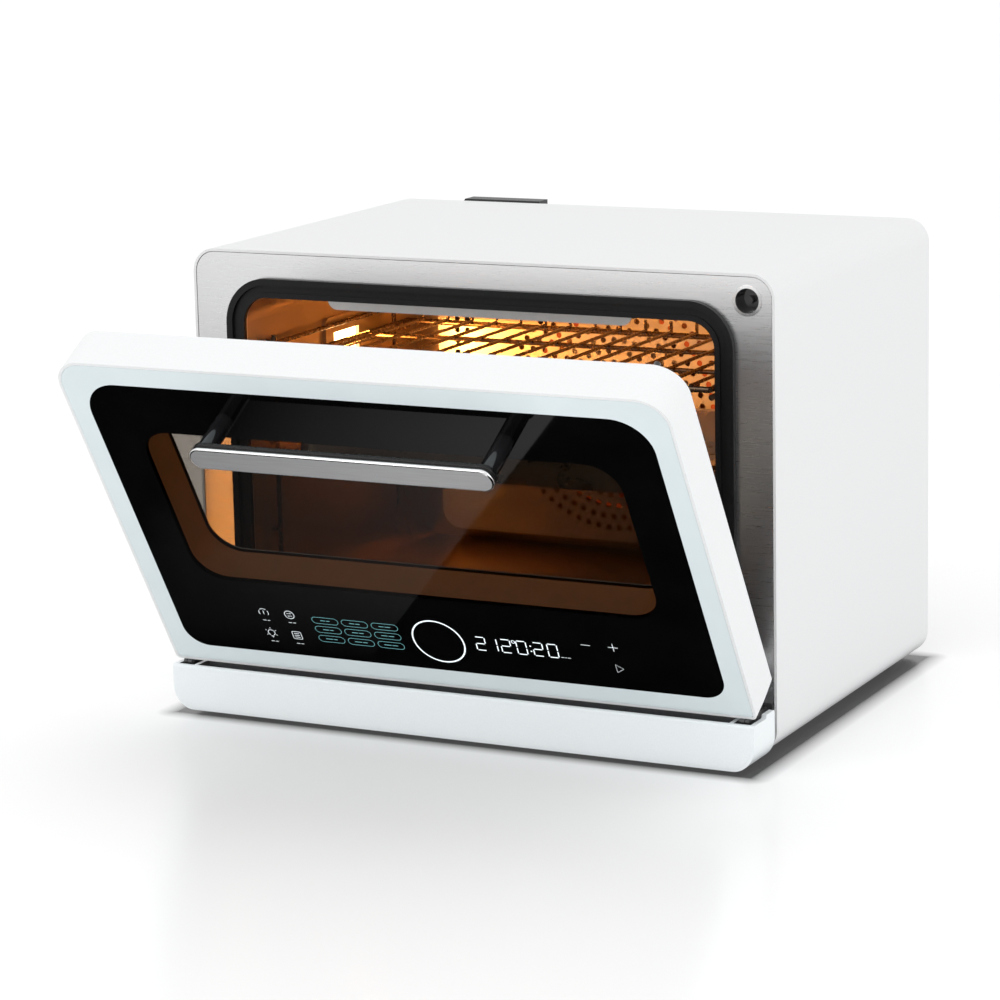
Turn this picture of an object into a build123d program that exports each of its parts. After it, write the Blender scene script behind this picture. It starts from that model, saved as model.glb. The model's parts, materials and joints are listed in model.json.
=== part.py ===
"""Countertop combi steam oven, with its bottom-hinged door ajar. Millimetres, +Z up, -Y is the front.

The origin is on the floor, under the middle of the whole oven with the door ajar.
"""

import os
from math import cos, pi, radians, sin

from build123d import *

# ---- driving dimensions ----
CASING_WIDTH = 520.0
CASING_HEIGHT = 381.5
CASING_DEPTH = 350.0
CASING_RADIUS = 20.0
CASING_WALL = 1.5
FRONT_Y = -70.0  # where the casing's front edge stands
FOOT_HEIGHT = 4.0

CAVITY_WIDTH = 422.0
CAVITY_HEIGHT = 262.0
CAVITY_MIDDLE = 212.0  # height of the cavity's middle above the casing's underside
CAVITY_RADIUS = 22.0
CAVITY_BACK = 300.0
LINER_WALL = 1.0

DOOR_WIDTH = 525.0
DOOR_HEIGHT = 326.0
DOOR_THICKNESS = 39.0
DOOR_TOP_RADIUS = 26.0
DOOR_BOTTOM_RADIUS = 4.0
DOOR_AJAR = 31.1  # degrees from closed
HINGE_DEPTH = -45.0  # the hinge line lies in the plane of the closed door's glass
HINGE_HEIGHT = 38.5
HINGE_DROP = 3.0  # from the door's bottom edge down to the hinge line

WINDOW_WIDTH = 413.0
WINDOW_LOW = 99.5
WINDOW_HIGH = 258.0
WINDOW_RADIUS = 27.0
BLACK_WIDTH = 486.0
BLACK_LOW = 19.3
BLACK_HIGH = 305.2
BLACK_TOP_RADIUS = 32.0
BLACK_BOTTOM_RADIUS = 20.0

TRAY_FRONT = -53.7
TRAY_BACK = -11.0
TRAY_TOP = 37.5
TRAY_LOW = -1.0

RACK_LEVEL = 285.0
PAN_LEVEL = 221.0
FAN_RADIUS = 70.0
CLEARANCE = 0.3  # between pieces that move past each other
FRONT_TO_BACK = (0, 1, 0)

finished = {}


# ---- planes ----
def facing(depth):
    """The upright plane this far behind the casing's front edge; local y is height, outwards is forward."""
    return Plane((0, FRONT_Y + depth, FOOT_HEIGHT), x_dir=(1, 0, 0), z_dir=(0, -1, 0))


def level(height):
    """The flat plane this far above the casing's underside; local y is depth."""
    return Plane((0, FRONT_Y, FOOT_HEIGHT + height), x_dir=(1, 0, 0), z_dir=(0, 0, 1))


def across(x):
    """The upright plane at this x, seen from the right; local x is depth and local y is height."""
    return Plane((x, FRONT_Y, FOOT_HEIGHT), x_dir=(0, 1, 0), z_dir=(1, 0, 0))


def in_door(depth):
    """The plane this far behind the glass of the ajar door; local y runs up the door from its bottom edge."""
    tilt = radians(DOOR_AJAR)
    up = Vector(0, -sin(tilt), cos(tilt))
    inwards = Vector(0, cos(tilt), sin(tilt))
    hinge = Vector(0, FRONT_Y + HINGE_DEPTH, FOOT_HEIGHT + HINGE_HEIGHT)
    return Plane(hinge + up * HINGE_DROP + inwards * depth, x_dir=(1, 0, 0), z_dir=-inwards)


def across_door(x):
    """The plane across the ajar door at this x; local x is depth behind the glass and local y is up the door."""
    face = in_door(0)
    return Plane(face.origin + Vector(x, 0, 0), x_dir=-face.z_dir, z_dir=(1, 0, 0))


def rounded(width, low, high, top_radius, bottom_radius):
    """A rectangle about the middle, with its own radius at the top corners and at the bottom ones."""
    corners = ((-width / 2, low), (width / 2, low), (width / 2, high), (-width / 2, high))
    radii = (bottom_radius, bottom_radius, top_radius, top_radius)
    with BuildSketch() as shape:
        with BuildLine():
            FilletPolyline(*corners, radius=radii, close=True)
        make_face()
    return shape.sketch


def tube(path_points, bend, radius, bore=0.0):
    """A round tube or rod along straight runs with equal bends, from points in the oven's own frame."""
    points = [Vector(x, FRONT_Y + depth, FOOT_HEIGHT + height) for x, depth, height in path_points]
    with BuildPart() as piece:
        with BuildLine() as path:
            if len(points) > 2:
                FilletPolyline(*points, radius=bend)
            else:
                Line(*points)
        with BuildSketch(Plane(path.line @ 0, z_dir=path.line % 0)):
            Circle(radius)
            if bore:
                Circle(bore, mode=Mode.SUBTRACT)
        sweep()
    return piece.part


# ==== the body ====
# Casing: a wrapped sheet with a narrow lip at the front.
LIP_WIDTH = 2.2
LIP_DEPTH = 1.5
casing_middle = CASING_HEIGHT / 2
with BuildPart() as outer_casing:
    with BuildSketch(facing(0)):
        with Locations((0, casing_middle)):
            RectangleRounded(CASING_WIDTH, CASING_HEIGHT, CASING_RADIUS)
            RectangleRounded(
                CASING_WIDTH - 2 * CASING_WALL,
                CASING_HEIGHT - 2 * CASING_WALL,
                CASING_RADIUS - CASING_WALL,
                mode=Mode.SUBTRACT,
            )
    extrude(amount=-CASING_DEPTH)
    with BuildSketch(facing(0)):
        with Locations((0, casing_middle)):
            RectangleRounded(CASING_WIDTH, CASING_HEIGHT, CASING_RADIUS)
            RectangleRounded(
                CASING_WIDTH - 2 * LIP_WIDTH,
                CASING_HEIGHT - 2 * LIP_WIDTH,
                CASING_RADIUS - LIP_WIDTH,
                mode=Mode.SUBTRACT,
            )
    extrude(amount=-LIP_DEPTH)
finished["outer_casing"] = outer_casing

# Front fascia: the steel face inside the lip, with the cavity opening, the switch hole and two runner slots.
FASCIA_FRONT = 0.6
FASCIA_THICK = 1.2
FASCIA_GAP = 0.5
SWITCH_X = 237.1
SWITCH_HEIGHT = 360.4
SWITCH_RADIUS = 11.0
RUNNER_X = 150.0
RUNNER_WIDTH = 24.0
RUNNER_LOW = 12.0
RUNNER_HIGH = 24.0
RUNNER_SLOT_GAP = 1.0
fascia_back = FASCIA_FRONT + FASCIA_THICK
fascia_inset = LIP_WIDTH + FASCIA_GAP
with BuildPart() as front_fascia:
    with BuildSketch(facing(FASCIA_FRONT)):
        with Locations((0, casing_middle)):
            RectangleRounded(
                CASING_WIDTH - 2 * fascia_inset, CASING_HEIGHT - 2 * fascia_inset, CASING_RADIUS - fascia_inset
            )
        with Locations((0, CAVITY_MIDDLE)):
            RectangleRounded(CAVITY_WIDTH, CAVITY_HEIGHT, CAVITY_RADIUS, mode=Mode.SUBTRACT)
        with Locations((SWITCH_X, SWITCH_HEIGHT)):
            Circle(SWITCH_RADIUS, mode=Mode.SUBTRACT)
        with Locations((-RUNNER_X, (RUNNER_LOW + RUNNER_HIGH) / 2), (RUNNER_X, (RUNNER_LOW + RUNNER_HIGH) / 2)):
            Rectangle(
                RUNNER_WIDTH + 2 * RUNNER_SLOT_GAP,
                RUNNER_HIGH - RUNNER_LOW + 2 * RUNNER_SLOT_GAP,
                mode=Mode.SUBTRACT,
            )
    extrude(amount=-FASCIA_THICK)
finished["front_fascia"] = front_fascia

# Cavity liner: a deep drawn box, open at the front, with a flange against the fascia.
FLANGE_WIDTH = 12.0
SHAFT_HOLE_RADIUS = 7.0
ELEMENT_RADIUS = 3.25
ELEMENT_X = 15.0
ELEMENT_HEIGHT = 334.0
RING_RADIUS = 86.0
RING_ROD = 3.2
RING_TAIL_X = 12.0
PROBE_X = 190.0
PROBE_HEIGHT = 320.0
PROBE_RADIUS = 2.0
NOZZLE_X = 190.0
NOZZLE_HEIGHT = 110.0
NOZZLE_RADIUS = 5.0
LAMP_FRONT = 141.0
LAMP_BACK = 185.0
LAMP_LOW = 195.0
LAMP_HIGH = 291.0
liner_back = CAVITY_BACK + LINER_WALL
ring_tail_height = CAVITY_MIDDLE - (RING_RADIUS**2 - RING_TAIL_X**2) ** 0.5
with BuildPart() as cavity_liner:
    with BuildSketch(facing(fascia_back)):
        with Locations((0, CAVITY_MIDDLE)):
            RectangleRounded(
                CAVITY_WIDTH + 2 * LINER_WALL, CAVITY_HEIGHT + 2 * LINER_WALL, CAVITY_RADIUS + LINER_WALL
            )
    extrude(amount=fascia_back - liner_back)
    with BuildSketch(facing(fascia_back)):
        with Locations((0, CAVITY_MIDDLE)):
            RectangleRounded(
                CAVITY_WIDTH + 2 * FLANGE_WIDTH, CAVITY_HEIGHT + 2 * FLANGE_WIDTH, CAVITY_RADIUS + FLANGE_WIDTH
            )
    extrude(amount=-LINER_WALL)
    with BuildSketch(facing(fascia_back)):
        with Locations((0, CAVITY_MIDDLE)):
            RectangleRounded(CAVITY_WIDTH, CAVITY_HEIGHT, CAVITY_RADIUS)
    extrude(amount=fascia_back - CAVITY_BACK, mode=Mode.SUBTRACT)
    with BuildSketch(facing(CAVITY_BACK)):
        with Locations((0, CAVITY_MIDDLE)):
            Circle(SHAFT_HOLE_RADIUS)
        with Locations((-ELEMENT_X, ELEMENT_HEIGHT), (ELEMENT_X, ELEMENT_HEIGHT)):
            Circle(ELEMENT_RADIUS)
        with Locations((-RING_TAIL_X, ring_tail_height), (RING_TAIL_X, ring_tail_height)):
            Circle(RING_ROD)
        with Locations((PROBE_X, PROBE_HEIGHT)):
            Circle(PROBE_RADIUS)
        with Locations((NOZZLE_X, NOZZLE_HEIGHT)):
            Circle(NOZZLE_RADIUS)
    extrude(amount=-LINER_WALL, mode=Mode.SUBTRACT)
    with BuildSketch(across(-CAVITY_WIDTH / 2)):
        with Locations(((LAMP_FRONT + LAMP_BACK) / 2, (LAMP_LOW + LAMP_HIGH) / 2)):
            Rectangle(LAMP_BACK - LAMP_FRONT, LAMP_HIGH - LAMP_LOW)
    extrude(amount=-LINER_WALL, mode=Mode.SUBTRACT)
finished["cavity_liner"] = cavity_liner

# Insulation: a wrap of mineral wool around the liner, cut away beside the lamp housing.
WOOL_THICK = 12.0
WOOL_FRONT = 6.0
WOOL_BACK = 296.0
HOUSING_DEPTH = 20.0
HOUSING_MARGIN = 6.0
wool_inner = LINER_WALL
wool_outer = LINER_WALL + WOOL_THICK
housing_size = (LAMP_BACK - LAMP_FRONT + 2 * HOUSING_MARGIN, LAMP_HIGH - LAMP_LOW + 2 * HOUSING_MARGIN)
lamp_middle = ((LAMP_FRONT + LAMP_BACK) / 2, (LAMP_LOW + LAMP_HIGH) / 2)
with BuildPart() as insulation_wrap:
    with BuildSketch(facing(WOOL_FRONT)):
        with Locations((0, CAVITY_MIDDLE)):
            RectangleRounded(
                CAVITY_WIDTH + 2 * wool_outer, CAVITY_HEIGHT + 2 * wool_outer, CAVITY_RADIUS + wool_outer
            )
            RectangleRounded(
                CAVITY_WIDTH + 2 * wool_inner,
                CAVITY_HEIGHT + 2 * wool_inner,
                CAVITY_RADIUS + wool_inner,
                mode=Mode.SUBTRACT,
            )
    extrude(amount=WOOL_FRONT - WOOL_BACK)
    with BuildSketch(across(-CAVITY_WIDTH / 2 - wool_inner)):
        with Locations(lamp_middle):
            Rectangle(*housing_size)
    extrude(amount=-WOOL_THICK, mode=Mode.SUBTRACT)
finished["insulation_wrap"] = insulation_wrap

# Door seal: a silicone band around the opening, with a high outer lip, a groove and a lower inner lip.
SEAL_WIDTH = 16.0
SEAL_BAND = 3.0
OUTER_LIP = (16.0, 10.5, 5.8)  # from, to and height above the fascia
INNER_LIP = (4.5, 0.0, 4.4)


def seal_ring(outer, inner, height):
    """A ring around the opening, between two distances from its edge, standing this proud of the fascia."""
    with BuildPart() as ring:
        with BuildSketch(facing(FASCIA_FRONT)):
            with Locations((0, CAVITY_MIDDLE)):
                RectangleRounded(CAVITY_WIDTH + 2 * outer, CAVITY_HEIGHT + 2 * outer, CAVITY_RADIUS + outer)
                RectangleRounded(
                    CAVITY_WIDTH + 2 * inner,
                    CAVITY_HEIGHT + 2 * inner,
                    CAVITY_RADIUS + inner,
                    mode=Mode.SUBTRACT,
                )
        extrude(amount=height)
    return ring.part


with BuildPart() as door_seal:
    add(seal_ring(SEAL_WIDTH, 0.0, SEAL_BAND))
    add(seal_ring(*OUTER_LIP))
    add(seal_ring(*INNER_LIP))
finished["door_seal"] = door_seal

# Steam shield: a strip hung from the cavity's roof near the front, with rounded lower corners.
SHIELD_LEFT = -150.0
SHIELD_RIGHT = 126.0
SHIELD_LOW = 330.5
SHIELD_DEPTH = 30.0
SHIELD_THICK = 1.2
SHIELD_RADIUS = 9.0
SHIELD_FOLD = 14.0
cavity_top = CAVITY_MIDDLE + CAVITY_HEIGHT / 2
cavity_floor = CAVITY_MIDDLE - CAVITY_HEIGHT / 2
shield_middle = (SHIELD_LEFT + SHIELD_RIGHT) / 2
with BuildPart() as steam_shield:
    with BuildSketch(facing(SHIELD_DEPTH)):
        with Locations((shield_middle, (SHIELD_LOW + cavity_top) / 2)):
            Rectangle(SHIELD_RIGHT - SHIELD_LEFT, cavity_top - SHIELD_LOW)
        fillet(vertices().group_by(Axis.Y)[0], SHIELD_RADIUS)
    extrude(amount=-SHIELD_THICK)
    with BuildSketch(level(cavity_top - SHIELD_THICK)):
        with Locations((shield_middle, SHIELD_DEPTH + SHIELD_FOLD / 2)):
            Rectangle(SHIELD_RIGHT - SHIELD_LEFT, SHIELD_FOLD)
    extrude(amount=SHIELD_THICK)
finished["steam_shield"] = steam_shield

# Upper heating element: one bent rod under the roof, with both tails through the back wall.
element_half = [(15, 315), (15, 80), (65, 80), (65, 250), (115, 250), (115, 56)]
element_path = [(-x, depth, ELEMENT_HEIGHT) for x, depth in element_half]
element_path += [(x, depth, ELEMENT_HEIGHT) for x, depth in reversed(element_half)]
ELEMENT_BEND = 18.0
upper_element = tube(element_path, ELEMENT_BEND, ELEMENT_RADIUS)
finished["upper_heating_element"] = upper_element

# Fan cover: a shallow steel cap over the fan chamber, with rings of intake holes and two outlet strips.
COVER_FRONT = 268.0
COVER_WIDTH = 344.0
COVER_HEIGHT = 232.0
COVER_RADIUS = 18.0
COVER_WALL = 0.8
HOLE_RADIUS = 2.6
HOLE_PITCH = 10.0
FIRST_RING = 14.0
RING_COUNT = 10
OUTLET_X = 148.0
OUTLET_COLUMNS = 2
OUTLET_ROWS = 16
with BuildPart() as fan_cover:
    with BuildSketch(facing(COVER_FRONT)):
        with Locations((0, CAVITY_MIDDLE)):
            RectangleRounded(COVER_WIDTH, COVER_HEIGHT, COVER_RADIUS)
    extrude(amount=COVER_FRONT - CAVITY_BACK)
    with BuildSketch(facing(COVER_FRONT + COVER_WALL)):
        with Locations((0, CAVITY_MIDDLE)):
            RectangleRounded(
                COVER_WIDTH - 2 * COVER_WALL, COVER_HEIGHT - 2 * COVER_WALL, COVER_RADIUS - COVER_WALL
            )
    extrude(amount=COVER_FRONT + COVER_WALL - CAVITY_BACK, mode=Mode.SUBTRACT)
    with BuildSketch(facing(COVER_FRONT)):
        with Locations((0, CAVITY_MIDDLE)):
            for ring in range(RING_COUNT):
                ring_radius = FIRST_RING + ring * HOLE_PITCH
                with PolarLocations(ring_radius, round(2 * pi * ring_radius / HOLE_PITCH)):
                    Circle(HOLE_RADIUS)
        with Locations((-OUTLET_X, CAVITY_MIDDLE), (OUTLET_X, CAVITY_MIDDLE)):
            with GridLocations(HOLE_PITCH, HOLE_PITCH, OUTLET_COLUMNS, OUTLET_ROWS):
                Circle(HOLE_RADIUS)
    extrude(amount=-COVER_WALL, mode=Mode.SUBTRACT)
finished["fan_cover"] = fan_cover

# Ring heater: a round rod around the fan, with two tails through the back wall.
RING_DEPTH = 284.0
TAIL_END = 312.0
with BuildPart() as ring_heater:
    with BuildSketch(across(0)):
        with Locations((RING_DEPTH, CAVITY_MIDDLE + RING_RADIUS)):
            Circle(RING_ROD)
    fan_axis = Axis((0, FRONT_Y, FOOT_HEIGHT + CAVITY_MIDDLE), FRONT_TO_BACK)
    revolve(axis=fan_axis)
    with BuildSketch(facing(RING_DEPTH)):
        with Locations((-RING_TAIL_X, ring_tail_height), (RING_TAIL_X, ring_tail_height)):
            Circle(RING_ROD)
    extrude(amount=RING_DEPTH - TAIL_END)
finished["ring_heater"] = ring_heater

# Fan motor, on a plate with four legs, behind the back wall.
MOTOR_RADIUS = 36.0
MOTOR_FRONT = 307.0
MOTOR_BACK = 337.0
SHAFT_RADIUS = 3.0
SHAFT_FIT = 0.05  # radial running clearance
BORE_END = 322.0
PLATE_SIZE = (120.0, 70.0)
PLATE_THICK = 2.0
LEG_RADIUS = 4.0
with BuildPart() as fan_motor:
    with BuildSketch(facing(MOTOR_FRONT - PLATE_THICK)):
        with Locations((0, CAVITY_MIDDLE)):
            RectangleRounded(*PLATE_SIZE, 2 * LEG_RADIUS)
    extrude(amount=-PLATE_THICK)
    with BuildSketch(facing(MOTOR_FRONT)):
        with Locations((0, CAVITY_MIDDLE)):
            Circle(MOTOR_RADIUS)
    extrude(amount=MOTOR_FRONT - MOTOR_BACK)
    with BuildSketch(facing(liner_back)):
        with Locations((0, CAVITY_MIDDLE)):
            with GridLocations(PLATE_SIZE[0] - 4 * LEG_RADIUS, PLATE_SIZE[1] - 4 * LEG_RADIUS, 2, 2):
                Circle(LEG_RADIUS)
    extrude(amount=liner_back + PLATE_THICK - MOTOR_FRONT)
    with BuildSketch(facing(liner_back)):
        with Locations((0, CAVITY_MIDDLE)):
            Circle(SHAFT_RADIUS + SHAFT_FIT)
    extrude(amount=liner_back - BORE_END, mode=Mode.SUBTRACT)
finished["fan_motor"] = fan_motor

# Lamp in the left wall: housing outside the liner, glass in the opening, frame inside, bulb between.
HOUSING_WALL = 1.5
GLASS_THICK = 3.0
FRAME_MARGIN = 14.0
FRAME_THICK = 3.5
FRAME_RADIUS = 6.0
BULB_RADIUS = 6.0
BULB_LENGTH = 42.0
BULB_OFFSET = 11.0
liner_side = CAVITY_WIDTH / 2
housing_face = -(liner_side + LINER_WALL)
with BuildPart() as lamp_housing:
    with BuildSketch(across(housing_face)):
        with Locations(lamp_middle):
            Rectangle(*housing_size)
    extrude(amount=-HOUSING_DEPTH)
    with BuildSketch(across(housing_face)):
        with Locations(lamp_middle):
            Rectangle(housing_size[0] - 2 * HOUSING_WALL, housing_size[1] - 2 * HOUSING_WALL)
    extrude(amount=HOUSING_WALL - HOUSING_DEPTH, mode=Mode.SUBTRACT)
finished["lamp_housing"] = lamp_housing

with BuildPart() as lamp_glass:
    with BuildSketch(across(-liner_side)):
        with Locations(lamp_middle):
            Rectangle(LAMP_BACK - LAMP_FRONT, LAMP_HIGH - LAMP_LOW)
    extrude(amount=-GLASS_THICK)
finished["lamp_glass"] = lamp_glass

with BuildPart() as lamp_frame:
    with BuildSketch(across(-liner_side)):
        with Locations(lamp_middle):
            RectangleRounded(
                LAMP_BACK - LAMP_FRONT + 2 * FRAME_MARGIN, LAMP_HIGH - LAMP_LOW + 2 * FRAME_MARGIN, FRAME_RADIUS
            )
            Rectangle(LAMP_BACK - LAMP_FRONT, LAMP_HIGH - LAMP_LOW, mode=Mode.SUBTRACT)
    extrude(amount=FRAME_THICK)
finished["lamp_frame"] = lamp_frame

with BuildPart() as lamp_bulb:
    with BuildSketch(level(lamp_middle[1] - BULB_LENGTH / 2)):
        with Locations((housing_face - BULB_OFFSET, lamp_middle[0])):
            Circle(BULB_RADIUS)
    extrude(amount=BULB_LENGTH)
finished["lamp_bulb"] = lamp_bulb

# Side supports: two upright wires on each wall, with a runner wire at each level and short wall pegs.
RUNNER_WIRE = 2.5
UPRIGHT_WIRE = 2.0
RUNNER_WIRE_X = 199.8
UPRIGHT_X = 204.0
RUNNER_FRONT = 16.0
RUNNER_BACK = 262.0
UPRIGHT_DEPTHS = (32.0, 244.0)
UPRIGHT_LOW = 120.0
UPRIGHT_HIGH = 306.0
PEG_HEIGHTS = (140.0, 300.0)
RACK_DROP = 5.2  # from the rack's side wire down to the runner wire
PAN_DROP = RUNNER_WIRE + CLEARANCE
GUARD_RISE = 14.0
runner_heights = (RACK_LEVEL - RACK_DROP, PAN_LEVEL - PAN_DROP)
with BuildPart() as rack_supports:
    for sign in (-1, 1):
        with BuildSketch(facing(RUNNER_FRONT)):
            with Locations(*[(sign * RUNNER_WIRE_X, height) for height in runner_heights]):
                Circle(RUNNER_WIRE)
            with Locations((sign * UPRIGHT_X, RACK_LEVEL + GUARD_RISE)):
                Circle(UPRIGHT_WIRE)
        extrude(amount=RUNNER_FRONT - RUNNER_BACK)
        with BuildSketch(level(UPRIGHT_LOW)):
            with Locations(*[(sign * UPRIGHT_X, depth) for depth in UPRIGHT_DEPTHS]):
                Circle(UPRIGHT_WIRE)
        extrude(amount=UPRIGHT_HIGH - UPRIGHT_LOW)
        with BuildSketch(across(sign * liner_side)):
            with Locations(*[(depth, height) for depth in UPRIGHT_DEPTHS for height in PEG_HEIGHTS]):
                Circle(UPRIGHT_WIRE)
        extrude(amount=sign * (UPRIGHT_X - liner_side))
finished["rack_supports"] = rack_supports

# Rear panel: a plate inside the casing's back, with cooling slots and holes for the mains and water.
PANEL_FRONT = 345.0
PANEL_THICK = 1.5
PANEL_GAP = 0.2
INLET_X = 190.0
INLET_HEIGHT = 40.0
INLET_RADIUS = 9.0
VALVE_X = -145.0
VALVE_SEAT_HEIGHT = 92.0
BARB_RADIUS = 4.0
SLOT_LENGTH = 60.0
SLOT_WIDTH = 4.0
SLOT_PITCH = 12.0
SLOT_ROWS = 8
BLOWER_X = 160.0
BLOWER_HEIGHT = 290.0
EXHAUST_X = 60.0
EXHAUST_HEIGHT = 350.0
EXHAUST_SIZE = (70.0, 14.0)
panel_back = PANEL_FRONT + PANEL_THICK
panel_inset = CASING_WALL + PANEL_GAP
with BuildPart() as rear_panel:
    with BuildSketch(facing(PANEL_FRONT)):
        with Locations((0, casing_middle)):
            RectangleRounded(
                CASING_WIDTH - 2 * panel_inset, CASING_HEIGHT - 2 * panel_inset, CASING_RADIUS - panel_inset
            )
        with Locations((BLOWER_X, BLOWER_HEIGHT)):
            with GridLocations(0, SLOT_PITCH, 1, SLOT_ROWS):
                SlotOverall(SLOT_LENGTH, SLOT_WIDTH, mode=Mode.SUBTRACT)
        with Locations((INLET_X, INLET_HEIGHT)):
            Circle(INLET_RADIUS, mode=Mode.SUBTRACT)
        with Locations((VALVE_X, VALVE_SEAT_HEIGHT)):
            Circle(BARB_RADIUS, mode=Mode.SUBTRACT)
        with Locations((EXHAUST_X, EXHAUST_HEIGHT)):
            Rectangle(*EXHAUST_SIZE, mode=Mode.SUBTRACT)
    extrude(amount=-PANEL_THICK)
finished["rear_panel"] = rear_panel

# Steam exhaust: a duct from behind the cavity to the rear panel, with three louvres.
DUCT_WALL = 1.2
DUCT_FRONT = 306.0
LOUVRE_COUNT = 3
duct_inner = (EXHAUST_SIZE[0] - 2 * DUCT_WALL, EXHAUST_SIZE[1] - 2 * DUCT_WALL)
with BuildPart() as exhaust_duct:
    with BuildSketch(facing(DUCT_FRONT)):
        with Locations((EXHAUST_X, EXHAUST_HEIGHT)):
            Rectangle(*EXHAUST_SIZE)
            Rectangle(*duct_inner, mode=Mode.SUBTRACT)
    extrude(amount=DUCT_FRONT - panel_back)
    with BuildSketch(facing(panel_back - SLOT_WIDTH)):
        with Locations((EXHAUST_X, EXHAUST_HEIGHT)):
            with GridLocations(duct_inner[0] / LOUVRE_COUNT, 0, LOUVRE_COUNT, 1):
                Rectangle(DUCT_WALL, duct_inner[1])
    extrude(amount=-SLOT_WIDTH)
finished["exhaust_duct"] = exhaust_duct

# Base plate on the casing's floor, and four rubber feet below it.
BASE_MARGIN = 20.0
BASE_THICK = 1.5
FOOT_RADIUS = 12.0
FOOT_X = 225.0
FOOT_DEPTHS = (34.0, 316.0)
with BuildPart() as base_plate:
    with BuildSketch(level(CASING_WALL)):
        with Locations((0, CASING_DEPTH / 2)):
            Rectangle(CASING_WIDTH - 2 * BASE_MARGIN, CASING_DEPTH - 2 * BASE_MARGIN)
    extrude(amount=BASE_THICK)
finished["base_plate"] = base_plate
base_top = CASING_WALL + BASE_THICK

with BuildPart() as feet:
    with BuildSketch(level(-FOOT_HEIGHT)):
        with Locations(*[(x, depth) for x in (-FOOT_X, FOOT_X) for depth in FOOT_DEPTHS]):
            Circle(FOOT_RADIUS)
    extrude(amount=FOOT_HEIGHT)
finished["feet"] = feet

# Steam generator under the cavity, and the pump behind it.
BOILER = (-150.0, -10.0, 200.0, 270.0)  # left, right, front and back
BOILER_HEIGHT = 36.0
PUMP_X = -190.0
PUMP_DEPTH = 318.0
PUMP_SIZE = (40.0, 34.0, 30.0)
PUMP_HEAD_RADIUS = 12.0
PUMP_HEAD_HEIGHT = 16.0
HOSE_RADIUS = 4.0
HOSE_BORE = 2.5
HOSE_BEND = 14.0
boiler_middle = ((BOILER[0] + BOILER[1]) / 2, (BOILER[2] + BOILER[3]) / 2)
with BuildPart() as steam_generator:
    with BuildSketch(level(base_top)):
        with Locations(boiler_middle):
            RectangleRounded(BOILER[1] - BOILER[0], BOILER[3] - BOILER[2], CASING_RADIUS)
    extrude(amount=BOILER_HEIGHT)
finished["steam_generator"] = steam_generator
boiler_top = base_top + BOILER_HEIGHT

with BuildPart() as water_pump:
    with BuildSketch(level(base_top)):
        with Locations((PUMP_X, PUMP_DEPTH)):
            Rectangle(PUMP_SIZE[0], PUMP_SIZE[1])
    extrude(amount=PUMP_SIZE[2])
    with BuildSketch(level(base_top + PUMP_SIZE[2])):
        with Locations((PUMP_X, PUMP_DEPTH)):
            Circle(PUMP_HEAD_RADIUS)
    extrude(amount=PUMP_HEAD_HEIGHT)
finished["water_pump"] = water_pump
pump_top = base_top + PUMP_SIZE[2] + PUMP_HEAD_HEIGHT
pump_side_height = base_top + PUMP_SIZE[2] / 2

# Steam nozzle through the back wall, and three hoses: tank to pump, pump to generator, generator to nozzle.
NOZZLE_FRONT = 286.0
NOZZLE_BACK = 310.0
NOZZLE_BORE = 3.0
HOSE_RISE = 54.0
BARB_FRONT = 338.0
with BuildPart() as steam_nozzle:
    with BuildSketch(facing(NOZZLE_FRONT)):
        with Locations((NOZZLE_X, NOZZLE_HEIGHT)):
            Circle(NOZZLE_RADIUS)
            Circle(NOZZLE_BORE, mode=Mode.SUBTRACT)
    extrude(amount=NOZZLE_FRONT - NOZZLE_BACK)
finished["steam_nozzle"] = steam_nozzle

boiler_inlet_x = -130.0
steam_hose_x = -40.0
feed_path = [
    (VALVE_X, BARB_FRONT, VALVE_SEAT_HEIGHT),
    (VALVE_X, PUMP_DEPTH, VALVE_SEAT_HEIGHT),
    (PUMP_X, PUMP_DEPTH, VALVE_SEAT_HEIGHT),
    (PUMP_X, PUMP_DEPTH, pump_top),
]
pump_path = [
    (PUMP_X + PUMP_SIZE[0] / 2, PUMP_DEPTH, pump_side_height),
    (boiler_inlet_x, PUMP_DEPTH, pump_side_height),
    (boiler_inlet_x, BOILER[3], pump_side_height),
]
steam_path = [
    (steam_hose_x, boiler_middle[1], boiler_top),
    (steam_hose_x, boiler_middle[1], HOSE_RISE),
    (steam_hose_x, PUMP_DEPTH, HOSE_RISE),
    (NOZZLE_X, PUMP_DEPTH, HOSE_RISE),
    (NOZZLE_X, PUMP_DEPTH + HOSE_BEND, NOZZLE_HEIGHT),
    (NOZZLE_X, NOZZLE_BACK, NOZZLE_HEIGHT),
]
with BuildPart() as water_hoses:
    add(tube(feed_path, HOSE_BEND, HOSE_RADIUS, HOSE_BORE))
    add(tube(pump_path, HOSE_BEND, HOSE_RADIUS, HOSE_BORE))
    add(tube(steam_path, HOSE_BEND / 2, HOSE_RADIUS, HOSE_BORE))
finished["water_hoses"] = water_hoses

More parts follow.
